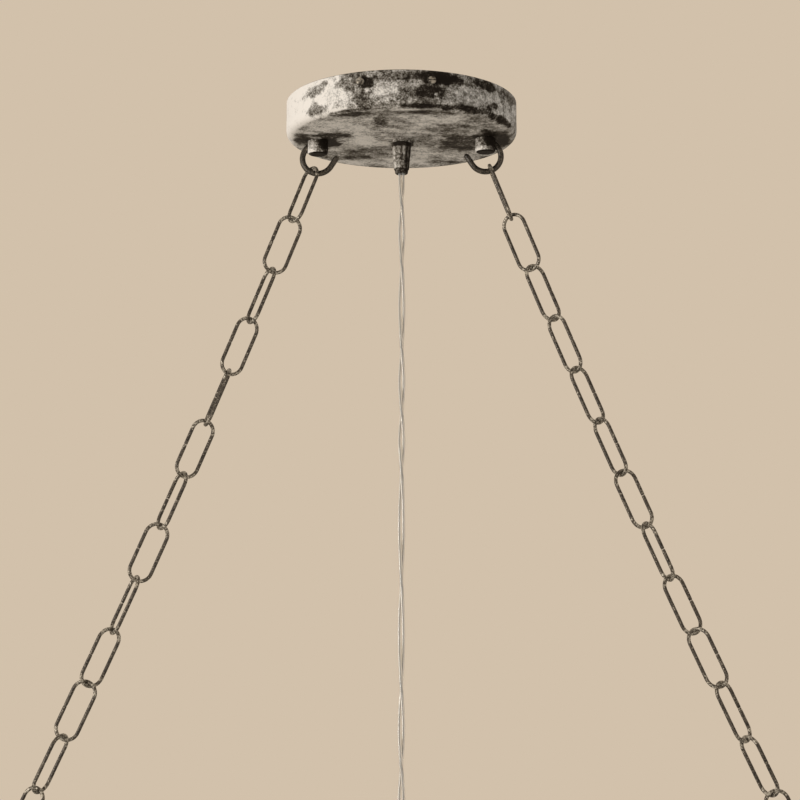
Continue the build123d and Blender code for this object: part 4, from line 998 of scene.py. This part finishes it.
# Studio: a pale round floor far below that fades into a beige surround, a soft lamp at the left
# and a weaker one at the right, and the photograph's camera, low and looking up.
FLOOR_Z = -3.2
FLOOR_RADIUS = 9.0
FLOOR_SIDES = 96
FLOOR_FADE = (1.0, 8.0)
SURROUND = "#D2C1AB"
ground = bpy.data.meshes.new("floor")
a = np.linspace(0, 2 * np.pi, FLOOR_SIDES, endpoint=False)
round_edge = np.stack([FLOOR_RADIUS * np.cos(a), FLOOR_RADIUS * np.sin(a), 0 * a + FLOOR_Z], -1)
ground.from_pydata(round_edge.tolist(), [], [list(range(FLOOR_SIDES))])
floor = bpy.data.objects.new("floor", ground)
bpy.context.scene.collection.objects.link(floor)
floor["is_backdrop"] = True


def seen_directly(tree):
    """1 for a ray that the eye, a reflection or glass sees, and 0 for one that carries light."""
    rays = add(tree, "LightPath")
    mirror = add(tree, "Math", {0: rays.outputs["Is Camera Ray"], 1: rays.outputs["Is Glossy Ray"]},
                 operation="MAXIMUM")
    return add(tree, "Math", {0: mirror.outputs[0], 1: rays.outputs["Is Transmission Ray"]},
               operation="MAXIMUM").outputs[0]


plaster = bpy.data.materials.new("pale_plaster")
plaster.use_nodes = True
tree = plaster.node_tree
tree.nodes.clear()
place = add(tree, "TexCoord").outputs["Object"]
from_middle = add(tree, "VectorMath", {0: place}, operation="DISTANCE")
from_middle.inputs[1].default_value = (0, 0, FLOOR_Z)
fade = add(tree, "MapRange", {"Value": from_middle.outputs["Value"], "From Min": FLOOR_FADE[0],
                              "From Max": FLOOR_FADE[1], "To Min": 0.45, "To Max": 1.0})
shown = add(tree, "Math", {0: fade.outputs[0], 1: seen_directly(tree)}, operation="MULTIPLY")
matt = add(tree, "BsdfDiffuse", {"Color": linear("#E6E0D6")})
glow = add(tree, "Emission", {"Color": linear(SURROUND)})
blend = add(tree, "MixShader", {0: shown.outputs[0], 1: matt.outputs[0], 2: glow.outputs[0]})
add(tree, "OutputMaterial", {"Surface": blend.outputs[0]})
ground.materials.append(plaster)

world = bpy.data.worlds.new("surround")
bpy.context.scene.world = world
world.use_nodes = True
tree = world.node_tree
tree.nodes.clear()
light = add(tree, "Background", {"Color": linear("#F6F5F2"), "Strength": 0.48})
wall = add(tree, "Background", {"Color": linear(SURROUND), "Strength": 1.0})
blend = add(tree, "MixShader", {0: seen_directly(tree), 1: light.outputs[0], 2: wall.outputs[0]})
add(tree, "OutputWorld", {"Surface": blend.outputs[0]})

LIT_POINT = (0, 0, -0.25)
for name, spot, size, power in (
    ("window_lamp", (-2.0, -1.5, -0.35), 1.3, 42),
    ("fill_lamp", (1.8, -2.0, -0.9), 1.6, 11),
):
    lamp = bpy.data.lights.new(name, "AREA")
    lamp.shape = "DISK"
    lamp.size = size
    lamp.energy = power
    lamp.color = linear("#FFFCF7")[:3]
    stand = bpy.data.objects.new(name, lamp)
    stand.location = spot
    stand.rotation_mode = "QUATERNION"
    stand.rotation_quaternion = (Vector(LIT_POINT) - Vector(spot)).to_track_quat("-Z", "Y")
    # Cut glass would otherwise show a lamp as a sheet of white
    stand.visible_transmission = False
    bpy.context.scene.collection.objects.link(stand)

# The shift keeps the photograph's framing, with the canopy high in the picture
lens = bpy.data.cameras.new("camera")
lens.lens = 80
lens.sensor_width = 36
lens.shift_y = -0.0625
camera = bpy.data.objects.new("camera", lens)
camera.location = (0.0485, -1.0479, -0.3195)
camera.rotation_euler = np.radians((90 + 9.1, 0, 2.7))
bpy.context.scene.collection.objects.link(camera)
bpy.context.scene.camera = camera
bpy.context.scene.view_settings.view_transform = "Standard"

low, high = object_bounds()
